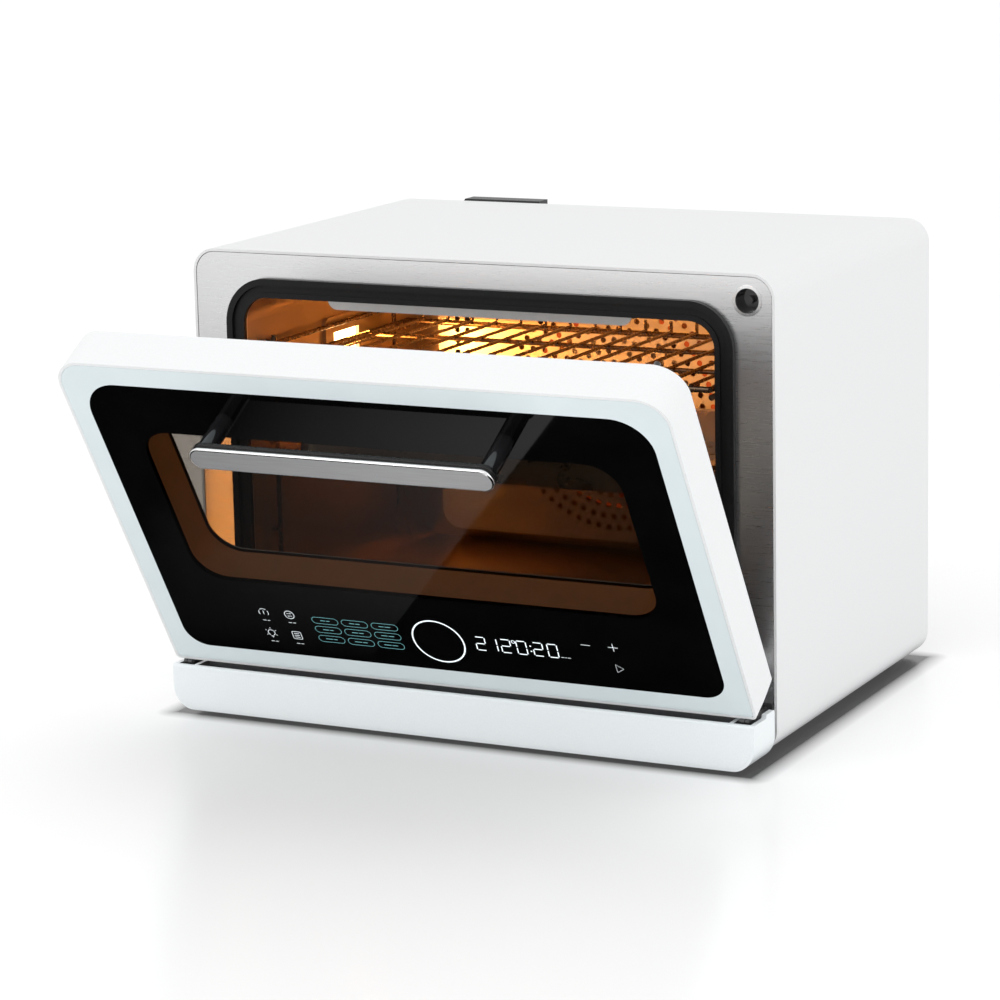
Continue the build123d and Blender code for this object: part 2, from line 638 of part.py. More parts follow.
# Power board on stand-offs at the right wall, with its tall components.
BOARD_X = 236.0
BOARD_THICK = 1.6
BOARD_FRONT = 60.0
BOARD_BACK = 220.0
BOARD_LOW = 90.0
BOARD_HIGH = 210.0
STANDOFF_RADIUS = 3.0
STANDOFF_MARGIN = 8.0
CHIP_PITCH = (40.0, 34.0)
CHIP_SIZE = (22.0, 18.0)
CHIP_HEIGHT = 14.0
board_middle = ((BOARD_FRONT + BOARD_BACK) / 2, (BOARD_LOW + BOARD_HIGH) / 2)
casing_side = CASING_WIDTH / 2 - CASING_WALL
with BuildPart() as power_board:
    with BuildSketch(across(BOARD_X)):
        with Locations(board_middle):
            Rectangle(BOARD_BACK - BOARD_FRONT, BOARD_HIGH - BOARD_LOW)
    extrude(amount=BOARD_THICK)
    with BuildSketch(across(BOARD_X + BOARD_THICK)):
        with Locations(board_middle):
            with GridLocations(*CHIP_PITCH, 3, 2):
                Rectangle(*CHIP_SIZE)
    extrude(amount=CHIP_HEIGHT)
    with BuildSketch(across(BOARD_X + BOARD_THICK)):
        with Locations(board_middle):
            with GridLocations(
                BOARD_BACK - BOARD_FRONT - 2 * STANDOFF_MARGIN, BOARD_HIGH - BOARD_LOW - 2 * STANDOFF_MARGIN, 2, 2
            ):
                Circle(STANDOFF_RADIUS)
    extrude(amount=casing_side - BOARD_X - BOARD_THICK)
finished["power_board"] = power_board

# Cooling blower behind the cavity: an open drum on the rear panel, its motor, and the impeller inside.
DRUM_RADIUS = 38.0
DRUM_FRONT = 312.0
DRUM_WALL = 1.5
EYE_RADIUS = 22.0
BLOWER_MOTOR_RADIUS = 12.0
BLOWER_MOTOR_FRONT = 332.0
BLOWER_SHAFT = 2.0
IMPELLER_RADIUS = 30.0
IMPELLER_BLADE = 9.0
IMPELLER_BLADE_MIDDLE = 24.0
IMPELLER_FRONT = 316.0
IMPELLER_BACK = 329.0
BLADE_THICK = 1.2
with BuildPart() as blower_housing:
    with BuildSketch(facing(DRUM_FRONT)):
        with Locations((BLOWER_X, BLOWER_HEIGHT)):
            Circle(DRUM_RADIUS)
    extrude(amount=DRUM_FRONT - PANEL_FRONT)
    with BuildSketch(facing(DRUM_FRONT + DRUM_WALL)):
        with Locations((BLOWER_X, BLOWER_HEIGHT)):
            Circle(DRUM_RADIUS - DRUM_WALL)
    extrude(amount=DRUM_FRONT + DRUM_WALL - PANEL_FRONT, mode=Mode.SUBTRACT)
    with BuildSketch(facing(DRUM_FRONT)):
        with Locations((BLOWER_X, BLOWER_HEIGHT)):
            Circle(EYE_RADIUS)
    extrude(amount=-DRUM_WALL, mode=Mode.SUBTRACT)
finished["blower_housing"] = blower_housing

with BuildPart() as blower_motor:
    with BuildSketch(facing(BLOWER_MOTOR_FRONT)):
        with Locations((BLOWER_X, BLOWER_HEIGHT)):
            Circle(BLOWER_MOTOR_RADIUS)
            Circle(BLOWER_SHAFT + SHAFT_FIT, mode=Mode.SUBTRACT)
    extrude(amount=BLOWER_MOTOR_FRONT - PANEL_FRONT)
finished["blower_motor"] = blower_motor

# Mains inlet gland through the rear panel.
GLAND_FLANGE = 13.0
GLAND_FLANGE_THICK = 3.0
GLAND_BORE = 4.5
GLAND_FRONT = 336.0
GLAND_BACK = 356.0
with BuildPart() as mains_gland:
    with BuildSketch(facing(GLAND_FRONT)):
        with Locations((INLET_X, INLET_HEIGHT)):
            Circle(INLET_RADIUS)
    extrude(amount=GLAND_FRONT - GLAND_BACK)
    with BuildSketch(facing(panel_back)):
        with Locations((INLET_X, INLET_HEIGHT)):
            Circle(GLAND_FLANGE)
    extrude(amount=-GLAND_FLANGE_THICK)
    with BuildSketch(facing(GLAND_FRONT)):
        with Locations((INLET_X, INLET_HEIGHT)):
            Circle(GLAND_BORE)
    extrude(amount=GLAND_FRONT - GLAND_BACK, mode=Mode.SUBTRACT)
finished["mains_gland"] = mains_gland

# Temperature probe through the back wall, above and beside the fan cover.
PROBE_FRONT = 262.0
PROBE_BACK = 314.0
with BuildPart() as temperature_probe:
    with BuildSketch(facing(PROBE_FRONT)):
        with Locations((PROBE_X, PROBE_HEIGHT)):
            Circle(PROBE_RADIUS)
    extrude(amount=PROBE_FRONT - PROBE_BACK)
finished["temperature_probe"] = temperature_probe

# Door switch in the fascia's top right corner: a bright bezel, a body behind it and a sprung plunger.
BEZEL_THICK = 0.8
BEZEL_RING = 1.2
SWITCH_BODY_BACK = 16.0
SWITCH_BODY_WALL = 1.5
SWITCH_POCKET = 9.0
PLUNGER_RADIUS = 3.0
PLUNGER_FIT = 0.3
PLUNGER_TIP = 4.0
PLUNGER_END = 13.0
PLUNGER_TRAVEL = 2.0
with BuildPart() as switch_bezel:
    with BuildSketch(facing(FASCIA_FRONT)):
        with Locations((SWITCH_X, SWITCH_HEIGHT)):
            Circle(SWITCH_RADIUS + BEZEL_RING)
            Circle(SWITCH_RADIUS - BEZEL_RING, mode=Mode.SUBTRACT)
    extrude(amount=BEZEL_THICK)
finished["switch_bezel"] = switch_bezel

with BuildPart() as switch_body:
    with BuildSketch(facing(FASCIA_FRONT)):
        with Locations((SWITCH_X, SWITCH_HEIGHT)):
            Circle(SWITCH_RADIUS)
    extrude(amount=FASCIA_FRONT - SWITCH_BODY_BACK)
    with BuildSketch(facing(FASCIA_FRONT)):
        with Locations((SWITCH_X, SWITCH_HEIGHT)):
            Circle(SWITCH_RADIUS - SWITCH_BODY_WALL)
    extrude(amount=FASCIA_FRONT - SWITCH_POCKET, mode=Mode.SUBTRACT)
    with BuildSketch(facing(SWITCH_POCKET)):
        with Locations((SWITCH_X, SWITCH_HEIGHT)):
            Circle(PLUNGER_RADIUS + PLUNGER_FIT)
    extrude(amount=SWITCH_POCKET - PLUNGER_END - PLUNGER_TRAVEL - PLUNGER_FIT, mode=Mode.SUBTRACT)
finished["switch_body"] = switch_body

with BuildPart() as switch_plunger:
    with BuildSketch(facing(PLUNGER_TIP)):
        with Locations((SWITCH_X, SWITCH_HEIGHT)):
            Circle(PLUNGER_RADIUS)
    extrude(amount=PLUNGER_TIP - PLUNGER_END)
finished["switch_plunger"] = switch_plunger

# Hinge brackets: an arm from the fascia under each end of the door, with a bored lug at the hinge line.
PIN_RADIUS = 1.5
LUG_RADIUS = 2.6
LUG_X = 248.0
LUG_THICK = 4.0
ARM_LOW = 34.4
ARM_HIGH = 39.0
FOOT_PLATE = (12.0, 10.0, 1.5)
with BuildPart() as hinge_brackets:
    for sign in (-1, 1):
        with BuildSketch(across(sign * LUG_X)):
            with Locations((HINGE_DEPTH, HINGE_HEIGHT)):
                Circle(LUG_RADIUS)
            with Locations(((HINGE_DEPTH + FASCIA_FRONT) / 2, (ARM_LOW + ARM_HIGH) / 2)):
                Rectangle(FASCIA_FRONT - HINGE_DEPTH, ARM_HIGH - ARM_LOW)
            with Locations((HINGE_DEPTH, HINGE_HEIGHT)):
                Circle(PIN_RADIUS + SHAFT_FIT, mode=Mode.SUBTRACT)
        extrude(amount=sign * LUG_THICK)
        with BuildSketch(facing(FASCIA_FRONT)):
            with Locations((sign * (LUG_X + LUG_THICK / 2), (ARM_LOW + ARM_HIGH) / 2)):
                Rectangle(FOOT_PLATE[0], FOOT_PLATE[1])
        extrude(amount=FOOT_PLATE[2])
finished["hinge_brackets"] = hinge_brackets

# Guides for the drip tray's runners, inside the casing behind the fascia's slots.
GUIDE_WALL = 1.5
GUIDE_BACK = 110.0
guide_outer = (RUNNER_WIDTH + 2 * RUNNER_SLOT_GAP + 2 * GUIDE_WALL, RUNNER_HIGH + RUNNER_SLOT_GAP + GUIDE_WALL)
guide_low = base_top
runner_middle = (RUNNER_LOW + RUNNER_HIGH) / 2
with BuildPart() as tray_guides:
    for x in (-RUNNER_X, RUNNER_X):
        with BuildSketch(facing(BASE_MARGIN)):
            with Locations((x, (guide_low + guide_outer[1]) / 2)):
                Rectangle(guide_outer[0], guide_outer[1] - guide_low)
            with Locations((x, runner_middle)):
                Rectangle(
                    RUNNER_WIDTH + 2 * RUNNER_SLOT_GAP,
                    RUNNER_HIGH - RUNNER_LOW + 2 * RUNNER_SLOT_GAP,
                    mode=Mode.SUBTRACT,
                )
        extrude(amount=BASE_MARGIN - GUIDE_BACK)
finished["tray_guides"] = tray_guides

# ==== the drip tray, which slides forward ====
TRAY_RADIUS = 20.0
TRAY_STEP_DEPTH = -28.0
TRAY_STEP_TOP = 40.5
TRAY_STEP_RADIUS = 2.4
TRAY_SKIN = 3.5
TROUGH_FLOOR = 6.0
NOTCH_INNER = 244.0
NOTCH_OUTER = 258.5
NOTCH_FLOOR = 30.0
NOTCH_FRONT = -50.2
RUNNER_END = 90.0
with BuildPart() as drip_tray:
    with BuildSketch(across(-DOOR_WIDTH / 2)):
        with BuildLine():
            FilletPolyline(
                (TRAY_FRONT, TRAY_LOW), (TRAY_BACK, TRAY_LOW), (TRAY_BACK, TRAY_STEP_TOP),
                (TRAY_STEP_DEPTH, TRAY_STEP_TOP), (TRAY_STEP_DEPTH, TRAY_TOP), (TRAY_FRONT, TRAY_TOP),
                radius=(1.0, 1.0, TRAY_STEP_RADIUS, 1.4, 2.0, 2.0), close=True,
            )
        make_face()
    extrude(amount=DOOR_WIDTH)
    with BuildSketch(facing(TRAY_BACK)):
        add(rounded(DOOR_WIDTH, TRAY_LOW, TRAY_STEP_TOP + TRAY_RADIUS, TRAY_STEP_RADIUS, TRAY_RADIUS))
    extrude(amount=TRAY_BACK - TRAY_FRONT, mode=Mode.INTERSECT)
    with BuildSketch(level(TROUGH_FLOOR)):
        with Locations((0, (TRAY_FRONT + TRAY_SKIN + TRAY_STEP_DEPTH - TRAY_SKIN) / 2)):
            Rectangle(2 * (NOTCH_INNER - TRAY_SKIN), TRAY_STEP_DEPTH - TRAY_FRONT - 2 * TRAY_SKIN)
    extrude(amount=TRAY_TOP, mode=Mode.SUBTRACT)
    with BuildSketch(level(NOTCH_FLOOR)):
        for sign in (-1, 1):
            with Locations((sign * (NOTCH_INNER + NOTCH_OUTER) / 2, (NOTCH_FRONT + TRAY_BACK) / 2)):
                Rectangle(NOTCH_OUTER - NOTCH_INNER, TRAY_BACK - NOTCH_FRONT)
    extrude(amount=TRAY_TOP, mode=Mode.SUBTRACT)
    with BuildSketch(facing(TRAY_BACK)):
        with Locations((-RUNNER_X, runner_middle), (RUNNER_X, runner_middle)):
            Rectangle(RUNNER_WIDTH, RUNNER_HIGH - RUNNER_LOW)
    extrude(amount=TRAY_BACK - RUNNER_END)
finished["drip_tray"] = drip_tray

# ==== the water tank, which lifts out of its holder behind the rear panel ====
TANK_LEFT = -255.0
TANK_RIGHT = -35.0
TANK_FRONT = 351.0
TANK_BACK = 370.5
TANK_LOW = 110.3
TANK_HIGH = 372.0
TANK_WALL = 1.8
TANK_RADIUS = 6.0
HOLDER_GAP = 0.5
HOLDER_WALL = 1.5
HOLDER_TOP = 190.0
HOLDER_LIP = 150.0
VALVE_RADIUS = 5.0
LID_THICK = 3.0
TAB_LEFT = -191.4
TAB_RIGHT = -110.6
TAB_TOP = 383.0
TAB_SLANT = 6.0
TAB_INSET = 1.2
tank_middle = ((TANK_LEFT + TANK_RIGHT) / 2, (TANK_FRONT + TANK_BACK) / 2)
tank_width = TANK_RIGHT - TANK_LEFT
tank_thick = TANK_BACK - TANK_FRONT
holder_floor = TANK_LOW - CLEARANCE - HOLDER_WALL
holder_back = TANK_BACK + HOLDER_GAP + HOLDER_WALL
holder_width = tank_width + 2 * (HOLDER_GAP + HOLDER_WALL)
with BuildPart() as tank_holder:
    with BuildSketch(level(holder_floor)):
        with Locations((tank_middle[0], (panel_back + holder_back) / 2)):
            Rectangle(holder_width, holder_back - panel_back)
    extrude(amount=HOLDER_TOP - holder_floor)
    with BuildSketch(level(TANK_LOW - CLEARANCE)):
        with Locations((tank_middle[0], (panel_back + HOLDER_WALL + holder_back - HOLDER_WALL) / 2)):
            Rectangle(holder_width - 2 * HOLDER_WALL, holder_back - panel_back - 2 * HOLDER_WALL)
    extrude(amount=HOLDER_TOP, mode=Mode.SUBTRACT)
    with BuildSketch(facing(holder_back)):
        with Locations((tank_middle[0], (HOLDER_LIP + HOLDER_TOP) / 2)):
            Rectangle(holder_width - 2 * HOLDER_WALL, HOLDER_TOP - HOLDER_LIP)
    extrude(amount=HOLDER_WALL, mode=Mode.SUBTRACT)
    with BuildSketch(level(holder_floor)):
        with Locations((VALVE_X, tank_middle[1])):
            Circle(VALVE_RADIUS + 2 * HOLDER_GAP)
    extrude(amount=HOLDER_WALL, mode=Mode.SUBTRACT)
finished["tank_holder"] = tank_holder

SEAT_RADIUS = 8.0
with BuildPart() as valve_seat:
    with BuildSketch(level(VALVE_SEAT_HEIGHT - SEAT_RADIUS)):
        with Locations((VALVE_X, tank_middle[1])):
            Circle(SEAT_RADIUS)
    extrude(amount=holder_floor - VALVE_SEAT_HEIGHT + SEAT_RADIUS)
    with BuildSketch(level(VALVE_SEAT_HEIGHT)):
        with Locations((VALVE_X, tank_middle[1])):
            Circle(VALVE_RADIUS + 2 * HOLDER_GAP)
    extrude(amount=holder_floor - VALVE_SEAT_HEIGHT, mode=Mode.SUBTRACT)
    with BuildSketch(facing(BARB_FRONT)):
        with Locations((VALVE_X, VALVE_SEAT_HEIGHT)):
            Circle(BARB_RADIUS)
    extrude(amount=BARB_FRONT - tank_middle[1] + SEAT_RADIUS / 2)
finished["valve_seat"] = valve_seat

with BuildPart() as water_tank:
    with BuildSketch(level(TANK_LOW)):
        with Locations(tank_middle):
            RectangleRounded(tank_width, tank_thick, TANK_RADIUS)
    extrude(amount=TANK_HIGH - TANK_LOW)
    with BuildSketch(level(TANK_LOW + TANK_WALL)):
        with Locations(tank_middle):
            RectangleRounded(tank_width - 2 * TANK_WALL, tank_thick - 2 * TANK_WALL, TANK_RADIUS - TANK_WALL)
    extrude(amount=TANK_HIGH - TANK_LOW, mode=Mode.SUBTRACT)
finished["water_tank"] = water_tank

VALVE_DROP = 10.0
with BuildPart() as tank_valve:
    with BuildSketch(level(TANK_LOW - VALVE_DROP)):
        with Locations((VALVE_X, tank_middle[1])):
            Circle(VALVE_RADIUS)
    extrude(amount=VALVE_DROP)
finished["tank_valve"] = tank_valve

with BuildPart() as tank_lid:
    with BuildSketch(level(TANK_HIGH)):
        with Locations(tank_middle):
            RectangleRounded(tank_width, tank_thick, TANK_RADIUS)
    extrude(amount=LID_THICK)
finished["tank_lid"] = tank_lid

with BuildPart() as tank_handle:
    with BuildSketch(facing(TANK_FRONT + TAB_INSET)):
        with BuildLine():
            Polyline(
                (TAB_LEFT, TANK_HIGH + LID_THICK),
                (TAB_RIGHT, TANK_HIGH + LID_THICK),
                (TAB_RIGHT, TAB_TOP),
                (TAB_LEFT + TAB_SLANT, TAB_TOP),
                close=True,
            )
        make_face()
    extrude(amount=-(tank_thick - 2 * TAB_INSET))
finished["tank_handle"] = tank_handle

# ==== the wire rack and the perforated pan, which slide on the side supports ====
RACK_FRONT = 20.0
RACK_BACK = 256.0
RACK_HALF_WIDTH = 196.3
BAR_RADIUS = 1.5
BAR_PITCH = 24.0
BAR_COUNT = 16
STOP_RISE = 11.0
CROSS_DEPTHS = (96.0, 180.0)
CROSS_RADIUS = 2.0
bar_top = RACK_LEVEL + RUNNER_WIRE
with BuildPart() as wire_rack:
    with BuildSketch(facing(RACK_FRONT)):
        with Locations((-RACK_HALF_WIDTH, RACK_LEVEL), (RACK_HALF_WIDTH, RACK_LEVEL)):
            Circle(RUNNER_WIRE)
    extrude(amount=RACK_FRONT - RACK_BACK)
    with BuildSketch(across(-RACK_HALF_WIDTH)):
        with Locations((RACK_FRONT, RACK_LEVEL), (RACK_BACK, RACK_LEVEL)):
            Circle(RUNNER_WIRE)
        with Locations(*[(depth, RACK_LEVEL) for depth in CROSS_DEPTHS]):
            Circle(CROSS_RADIUS)
    extrude(amount=2 * RACK_HALF_WIDTH)
    with BuildSketch(facing(RACK_FRONT)):
        with Locations((0, bar_top)):
            with GridLocations(BAR_PITCH, 0, BAR_COUNT, 1):
                Circle(BAR_RADIUS)
    extrude(amount=RACK_FRONT - RACK_BACK)
    with BuildSketch(level(bar_top - BAR_RADIUS)):
        with Locations((0, RACK_BACK)):
            with GridLocations(BAR_PITCH, 0, BAR_COUNT, 1):
                Circle(BAR_RADIUS)
    extrude(amount=STOP_RISE)
finished["wire_rack"] = wire_rack

PAN_FRONT = 18.0
PAN_BACK = 258.0
PAN_RIM_HALF = 198.0
PAN_HALF_WIDTH = 186.0
PAN_FLOOR = 195.0
PAN_WALL = 1.0
PAN_RIM = 1.5
PAN_RADIUS = 18.0
PAN_INSET = 9.0
PAN_HOLES = (24, 13)
PAN_HOLE_PITCH = 14.5
PAN_HOLE_RADIUS = 2.6
pan_middle = (0, (PAN_FRONT + PAN_BACK) / 2)
pan_length = PAN_BACK - PAN_FRONT
with BuildPart() as perforated_pan:
    with BuildSketch(level(PAN_FLOOR)):
        with Locations(pan_middle):
            RectangleRounded(2 * PAN_HALF_WIDTH, pan_length - 2 * PAN_INSET, PAN_RADIUS)
    extrude(amount=PAN_LEVEL - PAN_FLOOR)
    with BuildSketch(level(PAN_LEVEL)):
        with Locations(pan_middle):
            RectangleRounded(2 * PAN_RIM_HALF, pan_length, PAN_RADIUS + PAN_INSET)
    extrude(amount=PAN_RIM)
    with BuildSketch(level(PAN_FLOOR + PAN_WALL)):
        with Locations(pan_middle):
            RectangleRounded(
                2 * (PAN_HALF_WIDTH - PAN_WALL),
                pan_length - 2 * (PAN_INSET + PAN_WALL),
                PAN_RADIUS - PAN_WALL,
            )
    extrude(amount=PAN_LEVEL, mode=Mode.SUBTRACT)
    with BuildSketch(level(PAN_FLOOR)):
        with Locations(pan_middle):
            with GridLocations(PAN_HOLE_PITCH, PAN_HOLE_PITCH, *PAN_HOLES):
                Circle(PAN_HOLE_RADIUS)
    extrude(amount=PAN_WALL, mode=Mode.SUBTRACT)
finished["perforated_pan"] = perforated_pan

# ==== the convection fan and the cooling impeller, which spin ====
FAN_FRONT = 275.0
FAN_DISC = 290.0
DISC_THICK = 1.2
BLADE_COUNT = 10
BLADE_FROM = 34.0
HUB_RADIUS = 9.0
NUT_RADIUS = 6.0
NUT_FRONT = 270.5
NUT_BACK = FAN_FRONT
SHAFT_END = 320.0
with BuildPart() as convection_fan:
    with BuildSketch(facing(FAN_DISC)):
        with Locations((0, CAVITY_MIDDLE)):
            Circle(FAN_RADIUS)
    extrude(amount=-DISC_THICK)
    with BuildSketch(facing(FAN_DISC)):
        with Locations((0, CAVITY_MIDDLE)):
            Circle(HUB_RADIUS)
            with PolarLocations((BLADE_FROM + FAN_RADIUS) / 2 - BLADE_THICK, BLADE_COUNT):
                Rectangle(FAN_RADIUS - BLADE_FROM, BLADE_THICK)
    extrude(amount=FAN_DISC - FAN_FRONT)
    with BuildSketch(facing(FAN_FRONT)):
        with Locations((0, CAVITY_MIDDLE)):
            Circle(SHAFT_RADIUS)
    extrude(amount=FAN_FRONT - FAN_DISC - DISC_THICK, mode=Mode.SUBTRACT)
finished["convection_fan"] = convection_fan

with BuildPart() as fan_shaft:
    with BuildSketch(facing(FAN_FRONT)):
        with Locations((0, CAVITY_MIDDLE)):
            Circle(SHAFT_RADIUS)
    extrude(amount=FAN_FRONT - SHAFT_END)
finished["fan_shaft"] = fan_shaft

with BuildPart() as fan_nut:
    with BuildSketch(facing(NUT_FRONT)):
        with Locations((0, CAVITY_MIDDLE)):
            RegularPolygon(NUT_RADIUS, side_count=6)
    extrude(amount=NUT_FRONT - NUT_BACK)
finished["fan_nut"] = fan_nut

with BuildPart() as cooling_impeller:
    with BuildSketch(facing(IMPELLER_BACK)):
        with Locations((BLOWER_X, BLOWER_HEIGHT)):
            Circle(IMPELLER_RADIUS)
    extrude(amount=DISC_THICK)
    with BuildSketch(facing(IMPELLER_BACK)):
        with Locations((BLOWER_X, BLOWER_HEIGHT)):
            Circle(HUB_RADIUS)
            with PolarLocations(IMPELLER_BLADE_MIDDLE, 2 * BLADE_COUNT):
                Rectangle(IMPELLER_BLADE, BLADE_THICK)
    extrude(amount=IMPELLER_BACK - IMPELLER_FRONT)
    with BuildSketch(facing(IMPELLER_BACK)):
        with Locations((BLOWER_X, BLOWER_HEIGHT)):
            Circle(BLOWER_SHAFT)
    extrude(amount=IMPELLER_BACK - PANEL_FRONT + PANEL_THICK)
finished["cooling_impeller"] = cooling_impeller

# ==== the door, built where it stands ajar ====
# Frame: a white surround whose underside rises towards the back, with a pocket for the glass.
GLASS_INSET = 2.5
GLASS_GAP = 0.2
DOOR_GLASS = 4.0
PRINT_THICK = 0.3
RAIL_WIDTH = 18.0
UNDERSIDE_RISE = 6.0
ARM_WIDTH = 3.0
ARM_GAP = 0.6
ARM_DEPTHS = (4.5, 10.0)
ARM_REACH = 14.0
glass_pocket = DOOR_GLASS + PRINT_THICK
arm_x = LUG_X + LUG_THICK + ARM_GAP
with BuildPart() as door_frame:
    with BuildSketch(in_door(0)):
        add(rounded(DOOR_WIDTH, 0, DOOR_HEIGHT, DOOR_TOP_RADIUS, DOOR_BOTTOM_RADIUS))
    extrude(amount=-DOOR_THICKNESS)
    with BuildSketch(in_door(0)):
        add(
            rounded(
                DOOR_WIDTH - 2 * GLASS_INSET, GLASS_INSET, DOOR_HEIGHT - GLASS_INSET,
                DOOR_TOP_RADIUS - GLASS_INSET, DOOR_BOTTOM_RADIUS - GLASS_INSET,
            )
        )
    extrude(amount=-glass_pocket, mode=Mode.SUBTRACT)
    with BuildSketch(in_door(0)):
        add(
            rounded(
                DOOR_WIDTH - 2 * RAIL_WIDTH, RAIL_WIDTH, DOOR_HEIGHT - RAIL_WIDTH,
                DOOR_TOP_RADIUS - RAIL_WIDTH, DOOR_BOTTOM_RADIUS,
            )
        )
    extrude(amount=-DOOR_THICKNESS, mode=Mode.SUBTRACT)
    with BuildSketch(across_door(-DOOR_WIDTH / 2)):
        with BuildLine():
            Polyline((0, 0), (DOOR_THICKNESS, UNDERSIDE_RISE), (DOOR_THICKNESS, 0), close=True)
        make_face()
    extrude(amount=DOOR_WIDTH, mode=Mode.SUBTRACT)
    for sign in (-1, 1):
        with BuildSketch(across_door(sign * arm_x)):
            with Locations(((ARM_DEPTHS[0] + ARM_DEPTHS[1]) / 2, 0)):
                Rectangle(ARM_DEPTHS[1] - ARM_DEPTHS[0], 2 * ARM_REACH)
        extrude(amount=sign * ARM_WIDTH, mode=Mode.SUBTRACT)
finished["door_frame"] = door_frame

# Glass and its printed borders: white around the edge, black inside it around the window.
glass_width = DOOR_WIDTH - 2 * GLASS_INSET - 2 * GLASS_GAP
glass_low = GLASS_INSET + GLASS_GAP
glass_high = DOOR_HEIGHT - GLASS_INSET - GLASS_GAP
glass_top_radius = DOOR_TOP_RADIUS - GLASS_INSET - GLASS_GAP
glass_bottom_radius = DOOR_BOTTOM_RADIUS - GLASS_INSET - GLASS_GAP
with BuildPart() as door_glass:
    with BuildSketch(in_door(0)):
        add(rounded(glass_width, glass_low, glass_high, glass_top_radius, glass_bottom_radius))
    extrude(amount=-DOOR_GLASS)
finished["door_glass"] = door_glass

with BuildPart() as white_border:
    with BuildSketch(in_door(DOOR_GLASS)):
        add(rounded(glass_width, glass_low, glass_high, glass_top_radius, glass_bottom_radius))
        add(
            rounded(BLACK_WIDTH, BLACK_LOW, BLACK_HIGH, BLACK_TOP_RADIUS, BLACK_BOTTOM_RADIUS),
            mode=Mode.SUBTRACT,
        )
    extrude(amount=-PRINT_THICK)
finished["white_border"] = white_border

with BuildPart() as black_border:
    with BuildSketch(in_door(DOOR_GLASS)):
        add(rounded(BLACK_WIDTH, BLACK_LOW, BLACK_HIGH, BLACK_TOP_RADIUS, BLACK_BOTTOM_RADIUS))
        add(
            rounded(WINDOW_WIDTH, WINDOW_LOW, WINDOW_HIGH, WINDOW_RADIUS, WINDOW_RADIUS),
            mode=Mode.SUBTRACT,
        )
    extrude(amount=-PRINT_THICK)
finished["black_border"] = black_border

# Inner panel: a steel sheet closing the frame's back, with a window for the inner glass.
PANEL_SHEET = 1.0
INNER_GLASS = 3.0
INNER_MARGIN = 6.0
PANEL_RECESS = 1.5
inner_width = DOOR_WIDTH - 2 * RAIL_WIDTH
inner_panel_depth = DOOR_THICKNESS - PANEL_RECESS - PANEL_SHEET
with BuildPart() as door_inner_panel:
    with BuildSketch(in_door(inner_panel_depth)):
        add(
            rounded(
                inner_width, RAIL_WIDTH, DOOR_HEIGHT - RAIL_WIDTH, DOOR_TOP_RADIUS - RAIL_WIDTH, DOOR_BOTTOM_RADIUS
            )
        )
        add(
            rounded(WINDOW_WIDTH, WINDOW_LOW, WINDOW_HIGH, WINDOW_RADIUS, WINDOW_RADIUS),
            mode=Mode.SUBTRACT,
        )
    extrude(amount=-PANEL_SHEET)
finished["door_inner_panel"] = door_inner_panel

with BuildPart() as inner_glass:
    with BuildSketch(in_door(inner_panel_depth - INNER_GLASS)):
        add(
            rounded(
                WINDOW_WIDTH + 2 * INNER_MARGIN, WINDOW_LOW - INNER_MARGIN, WINDOW_HIGH + INNER_MARGIN,
                WINDOW_RADIUS, WINDOW_RADIUS,
            )
        )
    extrude(amount=-INNER_GLASS)
finished["inner_glass"] = inner_glass

# Touch board behind the glass, with the display module on it.
BOARD_SIZE = (340.0, 46.0)
BOARD_MIDDLE = 54.0
DISPLAY_SIZE = (84.0, 26.0)
DISPLAY_X = 71.0
DISPLAY_THICK = 5.0
touch_face = glass_pocket + DISPLAY_THICK
with BuildPart() as display_module:
    with BuildSketch(in_door(glass_pocket)):
        with Locations((DISPLAY_X, BOARD_MIDDLE)):
            Rectangle(*DISPLAY_SIZE)
    extrude(amount=-DISPLAY_THICK)
finished["display_module"] = display_module

with BuildPart() as touch_board:
    with BuildSketch(in_door(touch_face)):
        with Locations((0, BOARD_MIDDLE)):
            Rectangle(*BOARD_SIZE)
    extrude(amount=-BOARD_THICK)
finished["touch_board"] = touch_board

# Handle: two round posts through the glass and a flat bar with round ends.
HANDLE_HEIGHT = 275.5
POST_X = 121.0
POST_RADIUS = 7.5
BAR_LENGTH = 260.0
BAR_WIDTH = 20.5
BAR_THICK = 9.0
BAR_STANDOFF = 36.0
BAR_CHAMFER = 1.6
HANDLE_SCREW_RADIUS = 2.5
HANDLE_SCREW_HEAD = 4.5
HANDLE_SCREW_IN = 12.0
SCREW_HEAD_THICK = 3.0
POST_SEAT = 0.2
with BuildPart() as handle_bar:
    with BuildSketch(in_door(-BAR_STANDOFF)):
        with Locations((0, HANDLE_HEIGHT)):
            SlotOverall(BAR_LENGTH, BAR_WIDTH)
    extrude(amount=BAR_THICK)
    chamfer(faces().sort_by(Axis.Y)[0].edges(), BAR_CHAMFER)
finished["handle_bar"] = handle_bar

with BuildPart() as handle_posts:
    with BuildSketch(in_door(0)):
        with Locations((-POST_X, HANDLE_HEIGHT), (POST_X, HANDLE_HEIGHT)):
            Circle(POST_RADIUS)
    extrude(amount=BAR_STANDOFF)
    with BuildSketch(in_door(0)):
        with Locations((-POST_X, HANDLE_HEIGHT), (POST_X, HANDLE_HEIGHT)):
            Circle(HANDLE_SCREW_RADIUS)
    extrude(amount=HANDLE_SCREW_IN, mode=Mode.SUBTRACT)
finished["handle_posts"] = handle_posts

# Cut the screw holes through the glass and its print, then the screws themselves.
with BuildPart() as screw_holes:
    with BuildSketch(in_door(0)):
        with Locations((-POST_X, HANDLE_HEIGHT), (POST_X, HANDLE_HEIGHT)):
            Circle(HANDLE_SCREW_RADIUS)
    extrude(amount=-glass_pocket)

with BuildPart() as drilled_glass:
    add(door_glass.part)
    add(screw_holes.part, mode=Mode.SUBTRACT)
finished["door_glass"] = drilled_glass

